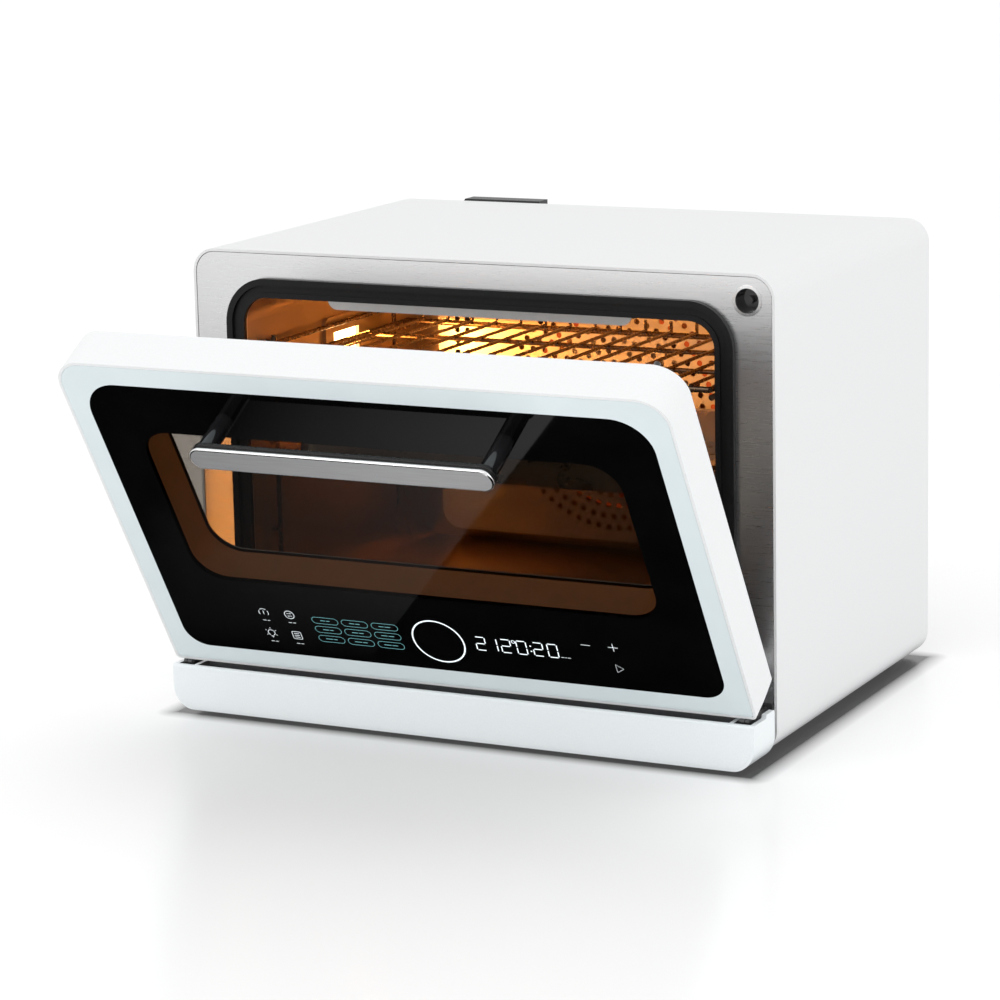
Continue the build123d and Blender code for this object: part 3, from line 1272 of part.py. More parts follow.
with BuildPart() as drilled_border:
    add(black_border.part)
    add(screw_holes.part, mode=Mode.SUBTRACT)
finished["black_border"] = drilled_border

with BuildPart() as handle_screws:
    with BuildSketch(in_door(glass_pocket)):
        with Locations((-POST_X, HANDLE_HEIGHT), (POST_X, HANDLE_HEIGHT)):
            Circle(HANDLE_SCREW_RADIUS)
    extrude(amount=glass_pocket + HANDLE_SCREW_IN)
    with BuildSketch(in_door(glass_pocket)):
        with Locations((-POST_X, HANDLE_HEIGHT), (POST_X, HANDLE_HEIGHT)):
            Circle(HANDLE_SCREW_HEAD)
    extrude(amount=-SCREW_HEAD_THICK)
finished["handle_screws"] = handle_screws

# Hinge arms in the frame's bottom corners, each with its pin through the bracket's lug.
ARM_HEEL = 3.9
with BuildPart() as hinge_arms:
    for sign in (-1, 1):
        with BuildSketch(across_door(sign * arm_x)):
            with Locations((0, -HINGE_DROP)):
                Circle(LUG_RADIUS)
            with Locations((ARM_DEPTHS[1] / 2, LUG_RADIUS / 4 - HINGE_DROP)):
                Rectangle(ARM_DEPTHS[1], ARM_HEEL)
            with Locations(((ARM_DEPTHS[0] + ARM_DEPTHS[1]) / 2, (ARM_REACH - HINGE_DROP) / 2)):
                Rectangle(ARM_DEPTHS[1] - ARM_DEPTHS[0], ARM_REACH + HINGE_DROP)
            with Locations((0, -HINGE_DROP)):
                Circle(PIN_RADIUS, mode=Mode.SUBTRACT)
        extrude(amount=sign * ARM_WIDTH)
finished["hinge_arms"] = hinge_arms

PIN_START = 247.0
with BuildPart() as hinge_pins:
    for sign in (-1, 1):
        with BuildSketch(across_door(sign * PIN_START)):
            with Locations((0, -HINGE_DROP)):
                Circle(PIN_RADIUS)
        extrude(amount=sign * (arm_x + ARM_WIDTH - PIN_START))
finished["hinge_pins"] = hinge_pins

# Striker on the door's back, which enters the switch recess when the door is closed.
STRIKER_RADIUS = 2.5
STRIKER_LENGTH = 9.2
striker_up = SWITCH_HEIGHT - HINGE_HEIGHT - HINGE_DROP
with BuildPart() as switch_striker:
    with BuildSketch(in_door(DOOR_THICKNESS)):
        with Locations((SWITCH_X, striker_up)):
            Circle(STRIKER_RADIUS)
    extrude(amount=-STRIKER_LENGTH)
finished["switch_striker"] = switch_striker

os.makedirs("parts", exist_ok=True)
for name, builder in finished.items():
    piece = builder if isinstance(builder, Part) else builder.part
    piece.label = name
    export_step(piece, f"parts/{name}.step")
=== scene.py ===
"""Looks for the countertop combi steam oven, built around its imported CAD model. Metres, +Z up, -Y is the front."""

import json
from math import cos, pi, radians, sin

import bpy
from mathutils import Matrix, Vector


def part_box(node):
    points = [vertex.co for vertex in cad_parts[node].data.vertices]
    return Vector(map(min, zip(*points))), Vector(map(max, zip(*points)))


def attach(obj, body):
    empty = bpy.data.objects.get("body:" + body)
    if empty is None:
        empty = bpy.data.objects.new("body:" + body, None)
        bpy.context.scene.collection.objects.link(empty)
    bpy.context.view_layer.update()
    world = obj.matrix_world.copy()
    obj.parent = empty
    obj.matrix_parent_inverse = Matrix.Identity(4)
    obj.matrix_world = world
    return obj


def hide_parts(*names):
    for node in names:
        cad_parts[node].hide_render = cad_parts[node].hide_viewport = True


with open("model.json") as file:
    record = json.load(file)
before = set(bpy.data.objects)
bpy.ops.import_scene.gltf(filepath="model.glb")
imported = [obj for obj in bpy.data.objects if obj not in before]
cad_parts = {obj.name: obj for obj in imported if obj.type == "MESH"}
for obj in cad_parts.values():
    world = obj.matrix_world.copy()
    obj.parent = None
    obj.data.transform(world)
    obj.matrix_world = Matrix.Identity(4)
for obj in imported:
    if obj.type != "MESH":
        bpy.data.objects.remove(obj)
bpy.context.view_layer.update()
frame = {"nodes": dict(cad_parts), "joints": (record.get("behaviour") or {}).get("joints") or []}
nodes = frame["nodes"]
MM = 0.001


# ---- the camera, at the photograph's viewing angle: place in metres, turns in radians, lens in millimetres ----
CAMERA_PLACE = (1.2618, -2.5343, 0.7716)
CAMERA_YAW = 0.4666
CAMERA_PITCH = 0.2071
CAMERA_ROLL = -0.0223
CAMERA_LENS = 125.81
CAMERA_SENSOR = 36
CAMERA_CLIP = 100


def make_camera():
    """The camera looks forward and down, with a slight roll."""
    forward = Vector(
        (-sin(CAMERA_YAW) * cos(CAMERA_PITCH), cos(CAMERA_YAW) * cos(CAMERA_PITCH), -sin(CAMERA_PITCH))
    )
    right = Vector((cos(CAMERA_YAW), sin(CAMERA_YAW), 0))
    up = right.cross(forward)
    rolled_right = right * cos(CAMERA_ROLL) + up * sin(CAMERA_ROLL)
    rolled_up = up * cos(CAMERA_ROLL) - right * sin(CAMERA_ROLL)
    data = bpy.data.cameras.new("camera")
    data.lens = CAMERA_LENS
    data.sensor_width = CAMERA_SENSOR
    data.clip_end = CAMERA_CLIP
    camera = bpy.data.objects.new("camera", data)
    bpy.context.scene.collection.objects.link(camera)
    turn = Matrix((rolled_right, rolled_up, -forward)).transposed().to_4x4()
    camera.matrix_world = Matrix.Translation(CAMERA_PLACE) @ turn
    bpy.context.scene.camera = camera


make_camera()
bpy.context.scene.view_settings.view_transform = "Standard"


# ---- the planes that pieces are drawn in ----
hinge = next(joint for joint in frame["joints"] if joint["name"] == "door_hinge")
HINGE = Vector(hinge["pos_m"])
AJAR = radians(-hinge["range_deg"][0])
DOOR_UP = Vector((0, -sin(AJAR), cos(AJAR)))
GLASS_RISE = 3  # the foot of the glass's plane above the hinge, in millimetres
DOOR_ORIGIN = HINGE + DOOR_UP * GLASS_RISE * MM


def plane(origin, right, up):
    """A matrix that takes x to right, y to up, and z out of the surface."""
    turn = Matrix((right, up, right.cross(up))).transposed().to_4x4()
    return Matrix.Translation(origin) @ turn


DOOR_PLANE = plane(DOOR_ORIGIN, Vector((1, 0, 0)), DOOR_UP)


# ---- mesh helpers: sizes in millimetres on a plane ----
def rounded_loop(width, low, high, top_radius, bottom_radius, steps=12):
    """A rectangle about x = 0 with rounded corners, anticlockwise."""
    half = width / 2
    corners = (
        (half - bottom_radius, low + bottom_radius, bottom_radius, -pi / 2),
        (half - top_radius, high - top_radius, top_radius, 0),
        (-half + top_radius, high - top_radius, top_radius, pi / 2),
        (-half + bottom_radius, low + bottom_radius, bottom_radius, pi),
    )
    return [
        (x + radius * cos(start + pi / 2 * i / steps), y + radius * sin(start + pi / 2 * i / steps))
        for x, y, radius, start in corners
        for i in range(steps + 1)
    ]


def slot_loop(x, y, length, width, steps=16):
    """A slot with round ends, lying along x."""
    reach = (length - width) / 2
    ends = ((x + reach, -pi / 2), (x - reach, pi / 2))
    return [
        (end + width / 2 * cos(start + pi * i / steps), y + width / 2 * sin(start + pi * i / steps))
        for end, start in ends
        for i in range(steps + 1)
    ]


def circle_loop(x, y, radius, steps=48):
    """A circle as points."""
    return [(x + radius * cos(2 * pi * i / steps), y + radius * sin(2 * pi * i / steps)) for i in range(steps)]


def mesh_from_curve(name, curve, place):
    """A mesh object of a curve drawn in millimetres, put on a plane."""
    temporary = bpy.data.objects.new(name + "_curve", curve)
    bpy.context.scene.collection.objects.link(temporary)
    depsgraph = bpy.context.evaluated_depsgraph_get()
    mesh = bpy.data.meshes.new_from_object(temporary.evaluated_get(depsgraph))
    bpy.data.objects.remove(temporary)
    bpy.data.curves.remove(curve)
    mesh.transform(Matrix.Scale(MM, 4))
    mesh.transform(place)
    piece = bpy.data.objects.new(name, mesh)
    bpy.context.scene.collection.objects.link(piece)
    return piece


def plate(name, loops, back, front, place, edge=0.0):
    """A flat plate between two distances out of a plane, with holes where loops lie inside one another."""
    curve = bpy.data.curves.new(name, "CURVE")
    curve.dimensions = "2D"
    curve.fill_mode = "BOTH"
    curve.extrude = (front - back) / 2 - edge
    curve.bevel_depth = edge
    curve.bevel_resolution = 2
    curve.offset = -edge
    for loop in loops:
        spline = curve.splines.new("POLY")
        spline.points.add(len(loop) - 1)
        for point, (x, y) in zip(spline.points, loop):
            point.co = (x, y, 0, 1)
        spline.use_cyclic_u = True
    piece = mesh_from_curve(name, curve, place @ Matrix.Translation((0, 0, (front + back) / 2 * MM)))
    smooth_by_angle(piece)
    return piece


def strokes(name, lines, width, place, lift, thickness=0.12):
    """Thin printed lines on a plane. Each line is its points, and whether it closes."""
    curve = bpy.data.curves.new(name, "CURVE")
    curve.dimensions = "3D"
    curve.bevel_depth = width / 2
    curve.bevel_resolution = 1
    curve.use_fill_caps = True
    for points, closed in lines:
        spline = curve.splines.new("POLY")
        spline.points.add(len(points) - 1)
        for point, (x, y) in zip(spline.points, points):
            point.co = (x, y, 0, 1)
        spline.use_cyclic_u = closed
    flat = Matrix.Diagonal((1, 1, thickness / width, 1))
    return mesh_from_curve(name, curve, place @ Matrix.Translation((0, 0, lift * MM)) @ flat)


def smooth_by_angle(piece, angle=35):
    """Smooth shading that keeps the sharp edges."""
    mesh = piece.data
    mesh.shade_smooth()
    mesh.set_sharp_from_angle(angle=radians(angle))


# ---- materials ----
PATTERN_LOW = 0.3
PATTERN_HIGH = 0.7
COAT_ROUGHNESS = 0.03
GLASS_ROUGHNESS = 0.02
GLASS_IOR = 1.5


def new_material(name):
    """A material with its tree, its Principled shader and its output."""
    made = bpy.data.materials.new(name)
    made.use_nodes = True
    shader = made.node_tree.nodes["Principled BSDF"]
    return made, made.node_tree, shader


def noise(tree, scale, detail=4.0, stretch=(1, 1, 1)):
    """A noise pattern over the piece in its own metres, stretched as asked."""
    where = tree.nodes.new("ShaderNodeTexCoord")
    mapping = tree.nodes.new("ShaderNodeMapping")
    mapping.inputs["Scale"].default_value = stretch
    pattern = tree.nodes.new("ShaderNodeTexNoise")
    pattern.inputs["Scale"].default_value = scale
    pattern.inputs["Detail"].default_value = detail
    tree.links.new(where.outputs["Object"], mapping.inputs["Vector"])
    tree.links.new(mapping.outputs["Vector"], pattern.inputs["Vector"])
    return pattern.outputs["Fac"]


def between(tree, value, low, high):
    """Turns a 0 to 1 pattern into a range of numbers."""
    ramp = tree.nodes.new("ShaderNodeMapRange")
    ramp.inputs["From Min"].default_value = PATTERN_LOW
    ramp.inputs["From Max"].default_value = PATTERN_HIGH
    ramp.inputs["To Min"].default_value = low
    ramp.inputs["To Max"].default_value = high
    tree.links.new(value, ramp.inputs["Value"])
    return ramp.outputs["Result"]


def tinted(tree, value, dark, light):
    """Turns a 0 to 1 pattern into a colour between two."""
    ramp = tree.nodes.new("ShaderNodeValToRGB")
    ramp.color_ramp.elements[0].position = PATTERN_LOW
    ramp.color_ramp.elements[0].color = (*dark, 1)
    ramp.color_ramp.elements[1].position = PATTERN_HIGH
    ramp.color_ramp.elements[1].color = (*light, 1)
    tree.links.new(value, ramp.inputs["Fac"])
    return ramp.outputs["Color"]


def math_step(tree, operation, vector, *values):
    """One number or vector step in a material, from sockets or plain values."""
    step = tree.nodes.new("ShaderNodeVectorMath" if vector else "ShaderNodeMath")
    step.operation = operation
    for socket, value in zip(step.inputs, values):
        if isinstance(value, bpy.types.NodeSocket):
            tree.links.new(value, socket)
        else:
            socket.default_value = value
    return next(output for output in step.outputs if output.enabled)


def fraction(tree, value, start, end):
    """How far a number is from start to end, held between 0 and 1."""
    ramp = tree.nodes.new("ShaderNodeMapRange")
    ramp.inputs["From Min"].default_value = start
    ramp.inputs["From Max"].default_value = end
    tree.links.new(value, ramp.inputs["Value"])
    return ramp.outputs["Result"]


def surface(
    name, dark, light, rough, metal=0.0, grain=300, stretch=(1, 1, 1), bump=0.0, specular=0.5, coat=0.0, glow=None
):
    """A surface whose colour, roughness and fine relief follow one grain."""
    made, tree, shader = new_material(name)
    pattern = noise(tree, grain, stretch=stretch)
    tree.links.new(tinted(tree, pattern, dark, light), shader.inputs["Base Color"])
    tree.links.new(between(tree, pattern, *rough), shader.inputs["Roughness"])
    shader.inputs["Metallic"].default_value = metal
    shader.inputs["Specular IOR Level"].default_value = specular
    shader.inputs["Coat Weight"].default_value = coat
    shader.inputs["Coat Roughness"].default_value = COAT_ROUGHNESS
    if bump:
        relief = tree.nodes.new("ShaderNodeBump")
        relief.inputs["Strength"].default_value = 1.0
        relief.inputs["Distance"].default_value = bump
        tree.links.new(pattern, relief.inputs["Height"])
        tree.links.new(relief.outputs["Normal"], shader.inputs["Normal"])
    if glow:
        colour, strength = glow
        shader.inputs["Emission Color"].default_value = (*colour, 1)
        shader.inputs["Emission Strength"].default_value = strength
    return made


def pane(name, tint, mirror=1.0):
    """Clear glass as a tinted see-through shader, under a mirror on its outer side that grows at grazing angles."""
    made = bpy.data.materials.new(name)
    made.use_nodes = True
    tree = made.node_tree
    tree.nodes.remove(tree.nodes["Principled BSDF"])
    clear = tree.nodes.new("ShaderNodeBsdfTransparent")
    clear.inputs["Color"].default_value = (*tint, 1)
    shine = tree.nodes.new("ShaderNodeBsdfGlossy")
    shine.inputs["Roughness"].default_value = GLASS_ROUGHNESS
    shine.inputs["Color"].default_value = (mirror, mirror, mirror, 1)
    edge = tree.nodes.new("ShaderNodeFresnel")
    edge.inputs["IOR"].default_value = GLASS_IOR
    both = tree.nodes.new("ShaderNodeMixShader")
    side = tree.nodes.new("ShaderNodeNewGeometry")
    front = tree.nodes.new("ShaderNodeMath")
    front.operation = "SUBTRACT"
    front.use_clamp = True
    tree.links.new(edge.outputs["Fac"], front.inputs[0])
    tree.links.new(side.outputs["Backfacing"], front.inputs[1])
    tree.links.new(front.outputs["Value"], both.inputs["Fac"])
    tree.links.new(clear.outputs["BSDF"], both.inputs[1])
    tree.links.new(shine.outputs["BSDF"], both.inputs[2])
    tree.links.new(both.outputs["Shader"], tree.nodes["Material Output"].inputs["Surface"])
    return made


BRUSH_ACROSS = (0.02, 1, 1)
white_coat = surface("white_coat", (0.76, 0.765, 0.77), (0.80, 0.805, 0.81), (0.42, 0.52), grain=900, bump=0.00002)
door_white = surface("door_white", (0.80, 0.815, 0.82), (0.83, 0.845, 0.85), (0.30, 0.38), grain=700, bump=0.00001)
tray_white = surface("tray_white", (0.84, 0.885, 0.90), (0.87, 0.91, 0.925), (0.28, 0.36), grain=700, bump=0.00001)
fascia_steel = surface(
    "fascia_steel", (0.69, 0.69, 0.695), (0.73, 0.73, 0.735), (0.26, 0.34), metal=1.0, grain=2500,
    stretch=BRUSH_ACROSS, bump=0.000006,
)
# Painted lamp light: the cavity's steel parts get warm brown base colours that stand for the oven lamp's orange
# light on them.
liner_steel_painted_lamp_tint = surface("liner_steel_painted_lamp_tint", (0.40, 0.28, 0.18), (0.46, 0.33, 0.22), (0.26, 0.34), metal=0.75, grain=8)
cover_steel_painted_lamp_tint = surface("cover_steel_painted_lamp_tint", (0.60, 0.54, 0.48), (0.66, 0.60, 0.54), (0.34, 0.42), metal=0.55, grain=12)
pan_steel_painted_lamp_tint = surface("pan_steel_painted_lamp_tint", (0.36, 0.29, 0.23), (0.44, 0.36, 0.29), (0.24, 0.34), metal=1.0, grain=20)
# Painted shade and lamp light: the chrome rack is given a dark warm brown for the shade and orange light inside the
# cavity.
rack_chrome = surface("rack_chrome", (0.13, 0.085, 0.055), (0.18, 0.12, 0.08), (0.22, 0.34), metal=0.9, grain=200)
shield_steel = surface("shield_steel", (0.66, 0.66, 0.65), (0.72, 0.72, 0.71), (0.42, 0.50), metal=0.8, grain=80)
door_steel = surface("door_steel", (0.16, 0.16, 0.16), (0.20, 0.20, 0.20), (0.32, 0.42), metal=0.9, grain=80)
dark_hinge = surface("dark_hinge", (0.06, 0.06, 0.062), (0.10, 0.10, 0.102), (0.40, 0.52), metal=0.7, grain=120)
# Grey painted shade for the inside of the white drip tray.
tray_inside_painted_shade = surface("tray_inside_painted_shade", (0.12, 0.125, 0.13), (0.15, 0.155, 0.16), (0.5, 0.6), grain=300)
ring_hot = surface(
    "ring_hot", (0.06, 0.03, 0.02), (0.10, 0.05, 0.03), (0.45, 0.6), metal=0.4, grain=200,
    glow=((1.0, 0.12, 0.02), 0.5),
)
element_black = surface("element_black", (0.05, 0.045, 0.04), (0.10, 0.09, 0.08), (0.45, 0.6), metal=0.6, grain=200)
seal_rubber = surface(
    "seal_rubber", (0.006, 0.006, 0.006), (0.010, 0.010, 0.011), (0.38, 0.48), grain=500, specular=0.22
)
wool = surface("wool", (0.55, 0.50, 0.36), (0.80, 0.76, 0.62), (0.9, 1.0), grain=250, bump=0.0008)
motor_grey = surface("motor_grey", (0.10, 0.105, 0.11), (0.16, 0.165, 0.17), (0.4, 0.55), metal=0.5, grain=300)
panel_grey = surface("panel_grey", (0.30, 0.31, 0.32), (0.38, 0.39, 0.40), (0.42, 0.55), metal=0.8, grain=60)
black_plastic = surface(
    "black_plastic", (0.010, 0.010, 0.011), (0.020, 0.020, 0.022), (0.35, 0.50), grain=900, bump=0.00002
)
gloss_black = surface("gloss_black", (0.006, 0.006, 0.007), (0.012, 0.012, 0.013), (0.08, 0.14), grain=60, coat=0.6)
foot_rubber = surface("foot_rubber", (0.02, 0.02, 0.02), (0.04, 0.04, 0.04), (0.7, 0.85), grain=400, bump=0.00005)
cast_aluminium = surface(
    "cast_aluminium", (0.52, 0.52, 0.53), (0.66, 0.66, 0.67), (0.35, 0.5), metal=1.0, grain=400, bump=0.00005
)
hose_silicone = surface("hose_silicone", (0.62, 0.64, 0.66), (0.72, 0.74, 0.76), (0.3, 0.4), grain=100)
board_green = surface("board_green", (0.02, 0.12, 0.05), (0.03, 0.18, 0.08), (0.35, 0.5), grain=500)
bright_steel = surface("bright_steel", (0.74, 0.74, 0.74), (0.84, 0.84, 0.84), (0.08, 0.16), metal=1.0, grain=200)
zinc = surface("zinc", (0.40, 0.41, 0.42), (0.55, 0.56, 0.57), (0.28, 0.42), metal=1.0, grain=120)
border_glass = surface(
    "border_glass", (0.71, 0.79, 0.815), (0.74, 0.82, 0.84), (0.35, 0.42), grain=20, specular=0.2, coat=0.3
)
black_glass = surface(
    "black_glass", (0.0015, 0.0015, 0.0016), (0.0025, 0.0025, 0.0026), (0.03, 0.05), grain=20, specular=0.16
)
bar_satin = surface(
    "bar_satin", (0.30, 0.30, 0.305), (0.35, 0.35, 0.355), (0.32, 0.42), metal=0.3, grain=1500,
    stretch=BRUSH_ACROSS, bump=0.00001,
)
bar_back = surface("bar_back", (0.025, 0.025, 0.025), (0.03, 0.03, 0.03), (0.22, 0.30), metal=0.8, grain=300)
bar_edge = surface("bar_edge", (0.80, 0.80, 0.80), (0.88, 0.88, 0.88), (0.10, 0.18), metal=1.0, grain=200)
# Painted lamp light: the window's duct is cavity steel given a warm bronze colour and a faint warm glow, though it
# is no lamp.
duct_painted_lamp_glow = surface(
    "duct_painted_lamp_glow", (0.20, 0.095, 0.035), (0.25, 0.12, 0.045), (0.40, 0.5), grain=60, glow=((0.60, 0.24, 0.08), 0.12)
)
inner_black = surface("inner_black", (0.004, 0.004, 0.004), (0.008, 0.008, 0.008), (0.6, 0.8), grain=100)
tank_smoke = surface("tank_smoke", (0.10, 0.12, 0.13), (0.14, 0.16, 0.17), (0.12, 0.2), grain=40, coat=0.4)
lamp_glow = surface(
    "lamp_glow", (1, 0.8, 0.5), (1, 0.85, 0.6), (0.3, 0.4), grain=20, glow=((1.0, 0.62, 0.25), 14.0)
)
icon_glow = surface(
    "icon_glow", (0.7, 0.7, 0.7), (0.8, 0.8, 0.8), (0.4, 0.5), grain=20, glow=((0.80, 0.93, 1.0), 0.75)
)
pill_glow = surface(
    "pill_glow", (0.1, 0.3, 0.3), (0.1, 0.35, 0.35), (0.4, 0.5), grain=20, glow=((0.20, 0.50, 0.55), 0.6)
)
window_tint = pane("window_tint", (0.52, 0.49, 0.46), mirror=0.30)
clear_pane = pane("clear_pane", (0.93, 0.93, 0.92), mirror=0.5)


def paint(material, *names):
    """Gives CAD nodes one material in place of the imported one."""
    for name in names:
        mesh = nodes[name].data
        mesh.materials.clear()
        mesh.materials.append(material)
        smooth_by_angle(nodes[name])


paint(white_coat, "outer_casing", "tank_holder")
paint(fascia_steel, "front_fascia")
paint(liner_steel_painted_lamp_tint, "cavity_liner", "lamp_frame", "lamp_housing")
paint(cover_steel_painted_lamp_tint, "fan_cover", "convection_fan")
paint(shield_steel, "steam_shield")
paint(door_steel, "door_inner_panel")
paint(pan_steel_painted_lamp_tint, "perforated_pan")
paint(rack_chrome, "wire_rack", "rack_supports")
paint(element_black, "upper_heating_element")
paint(ring_hot, "ring_heater")
paint(seal_rubber, "door_seal")
paint(wool, "insulation_wrap")
paint(motor_grey, "fan_motor", "blower_motor")
paint(panel_grey, "rear_panel", "base_plate")
paint(black_plastic, "exhaust_duct", "blower_housing", "mains_gland", "water_pump", "tray_guides", "valve_seat",
      "tank_valve", "cooling_impeller", "tank_handle")
paint(gloss_black, "handle_posts", "switch_body", "switch_plunger", "switch_striker", "display_module")
paint(foot_rubber, "feet")
paint(cast_aluminium, "steam_generator")
paint(hose_silicone, "water_hoses")
paint(board_green, "power_board", "touch_board")
paint(bright_steel, "switch_bezel", "steam_nozzle", "temperature_probe")
paint(zinc, "handle_screws", "fan_shaft", "fan_nut")
paint(dark_hinge, "hinge_brackets", "hinge_arms", "hinge_pins")
paint(door_white, "door_frame")
paint(tray_white, "drip_tray")
paint(tank_smoke, "water_tank", "tank_lid")
paint(lamp_glow, "lamp_glass", "lamp_bulb")
paint(clear_pane, "inner_glass")


def dress(piece, material, body, slot, *stands_for):
    """Gives a new piece its material, the body that it rides on, and the CAD nodes that it stands for."""
    piece.data.materials.clear()
    piece.data.materials.append(material)
    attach(piece, body)
    if stands_for:
        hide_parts(*stands_for)
    return piece


# ---- the door's glass: white border, black field and tinted window, flush at the front ----
# Sizes are in millimetres. Each rounded shape is its width, low edge, high edge, top radius and bottom radius.
DOOR_WIDTH = 525
DOOR_HEIGHT = 326
GLASS_INSET = 2.7
GLASS_THICK = 4
GLASS_TOP_RADIUS = 23.3
GLASS_BOTTOM_RADIUS = 2.5
BLACK = (486, 19.3, 305.2, 32, 20)
WINDOW = (413, 99.5, 258, 27, 27)
SEAM = 0.05
DUCT_THICK = 1.2
DUCT_BACK = 33.4
DUCT_GAP = 0.1

glass_loop = rounded_loop(
    DOOR_WIDTH - 2 * GLASS_INSET, GLASS_INSET, DOOR_HEIGHT - GLASS_INSET, GLASS_TOP_RADIUS, GLASS_BOTTOM_RADIUS
)
black_loop = rounded_loop(*BLACK)
window_loop = rounded_loop(*WINDOW)


def grown(shape, by):
    """The same rounded shape, larger all round."""
    width, low, high, top_radius, bottom_radius = shape
    return rounded_loop(width + 2 * by, low - by, high + by, top_radius + by, bottom_radius + by)


border = plate("glass_border", [glass_loop, grown(BLACK, SEAM)], -GLASS_THICK, 0, DOOR_PLANE)
dress(border, border_glass, "door", "print_white", "door_glass", "white_border")
field = plate("glass_black_field", [black_loop, grown(WINDOW, SEAM)], -GLASS_THICK, 0, DOOR_PLANE)
dress(field, black_glass, "door", "print_black", "black_border")
window = plate("glass_window", [window_loop], -GLASS_THICK, 0, DOOR_PLANE)
dress(window, window_tint, "door", "door_pane", "door_glass")
# The duct between the panes carries painted lamp light: a warm colour and a glow.
duct_loops = [grown(WINDOW, DUCT_THICK), window_loop]
duct = plate("window_duct", duct_loops, -DUCT_BACK, -GLASS_THICK - DUCT_GAP, DOOR_PLANE)
dress(duct, duct_painted_lamp_glow, "door", "cavity_steel")

# ---- the drip tray: a pale panel over the front, white sides, and painted shade on the inside as a second, grey material ----
# The face is in millimetres, and its heights count from FACE_DATUM below the tray.
TRAY_FACE = (519, 5.5, 39, 3, 17)
TRAY_FACE_BACK = -0.4
TRAY_FACE_FRONT = 0.35
TRAY_FACE_EDGE = 0.2
FACE_DATUM = 3
# These are in metres. They tell the tray's inside from its outer skin and rim.
TRAY_HALF = 0.259
TRAY_SKIN = 0.0034
TRAY_RIM_HEIGHT = 0.0414
TROUGH_BACK = -0.102
LOOKS_DOWN = -0.5  # a face whose normal points lower than this looks down
tray_low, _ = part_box("drip_tray")
tray_mesh = nodes["drip_tray"].data
# Painted shade: the white tray's inside faces under its rim get a grey material that stands for the shade there.
tray_mesh.materials.append(tray_inside_painted_shade)
for polygon in tray_mesh.polygons:
    x, y, z = polygon.center
    within = abs(x) < TRAY_HALF and y > tray_low.y + TRAY_SKIN and z > tray_low.z + TRAY_SKIN
    under_rim = z < TRAY_RIM_HEIGHT or y > TROUGH_BACK
    if within and under_rim and polygon.normal.z > LOOKS_DOWN:
        polygon.material_index = 1
TRAY_PLANE = plane(
    Vector((0, tray_low.y, tray_low.z - FACE_DATUM * MM)), Vector((1, 0, 0)), Vector((0, 0, 1))
)
tray_face = plate(
    "drip_tray_face", [rounded_loop(*TRAY_FACE)], TRAY_FACE_BACK, TRAY_FACE_FRONT, TRAY_PLANE, edge=TRAY_FACE_EDGE
)
dress(tray_face, tray_white, "drip_tray", "tray_white")

# ---- the handle bar: a satin face with a bright edge, a black groove and a dark back strip ----
HANDLE_UP = 275.5  # the bar's middle, above the foot of the glass's plane
BAR_LENGTH = 260
BAR_WIDTH = 20.5
GROOVE = 0.8
# Each layer: name, back, front, how far it is inset, how far its edge is rounded, material.
BAR_LAYERS = (
    ("handle_bar_back", 36.0, 40.0, 0.0, 0.7, bar_back),
    ("handle_bar_groove", 40.0, 41.2, GROOVE, 0.0, inner_black),
    ("handle_bar_edge", 41.2, 44.9, 0.0, 1.5, bar_edge),
    ("handle_bar_face", 44.5, 45.0, 1.6, 0.0, bar_satin),
)
for name, back, front, inset, edge, material in BAR_LAYERS:
    loop = slot_loop(0, HANDLE_UP, BAR_LENGTH - 2 * inset, BAR_WIDTH - 2 * inset, steps=24)
    layer = plate(name, [loop], back, front, DOOR_PLANE, edge=edge)
    dress(layer, material, "door", "handle_steel", "handle_bar")

# ---- the touch controls, printed and lit behind the glass ----
LIFT = 0.05  # how far the prints stand out of the glass, in millimetres


def arc(x, y, radius, start, end, steps=20):
    """Points along an arc, with its angles in degrees."""
    return [
        (x + radius * cos(radians(start + (end - start) * i / steps)),
         y + radius * sin(radians(start + (end - start) * i / steps)))
        for i in range(steps + 1)
    ]


def dashes(x, y, lengths, gap=1.0):
    """Generic short dashes, centred, in place of a label."""
    total = sum(lengths) + gap * (len(lengths) - 1)
    left = x - total / 2
    lines = []
    for length in lengths:
        lines.append(([(left, y), (left + length, y)], False))
        left += length + gap
    return lines


def about(place, *lines):
    """Lines drawn about zero, moved to their place on the glass."""
    across, up = place
    return [([(across + x, up + y) for x, y in points], closed) for points, closed in lines]


ICON = 4.3
POWER_PLACE = (-156.8, 65.3)
FUNCTION_PLACE = (-132.7, 65.5)
LIGHT_PLACE = (-156.8, 42.6)
MENU_PLACE = (-132.8, 42.2)
MINUS_PLACE = (132.3, 64.8)
PLUS_PLACE = (156, 65)
PLAY_PLACE = (156, 41.9)


def light_rays(start=4.4, end=5.6, count=6, first=30):
    """Short rays around the lamp mark."""
    angles = [radians(first + 360 / count * i) for i in range(count)]
    return [
        ([(start * cos(angle), start * sin(angle)), (end * cos(angle), end * sin(angle))], False)
        for angle in angles
    ]


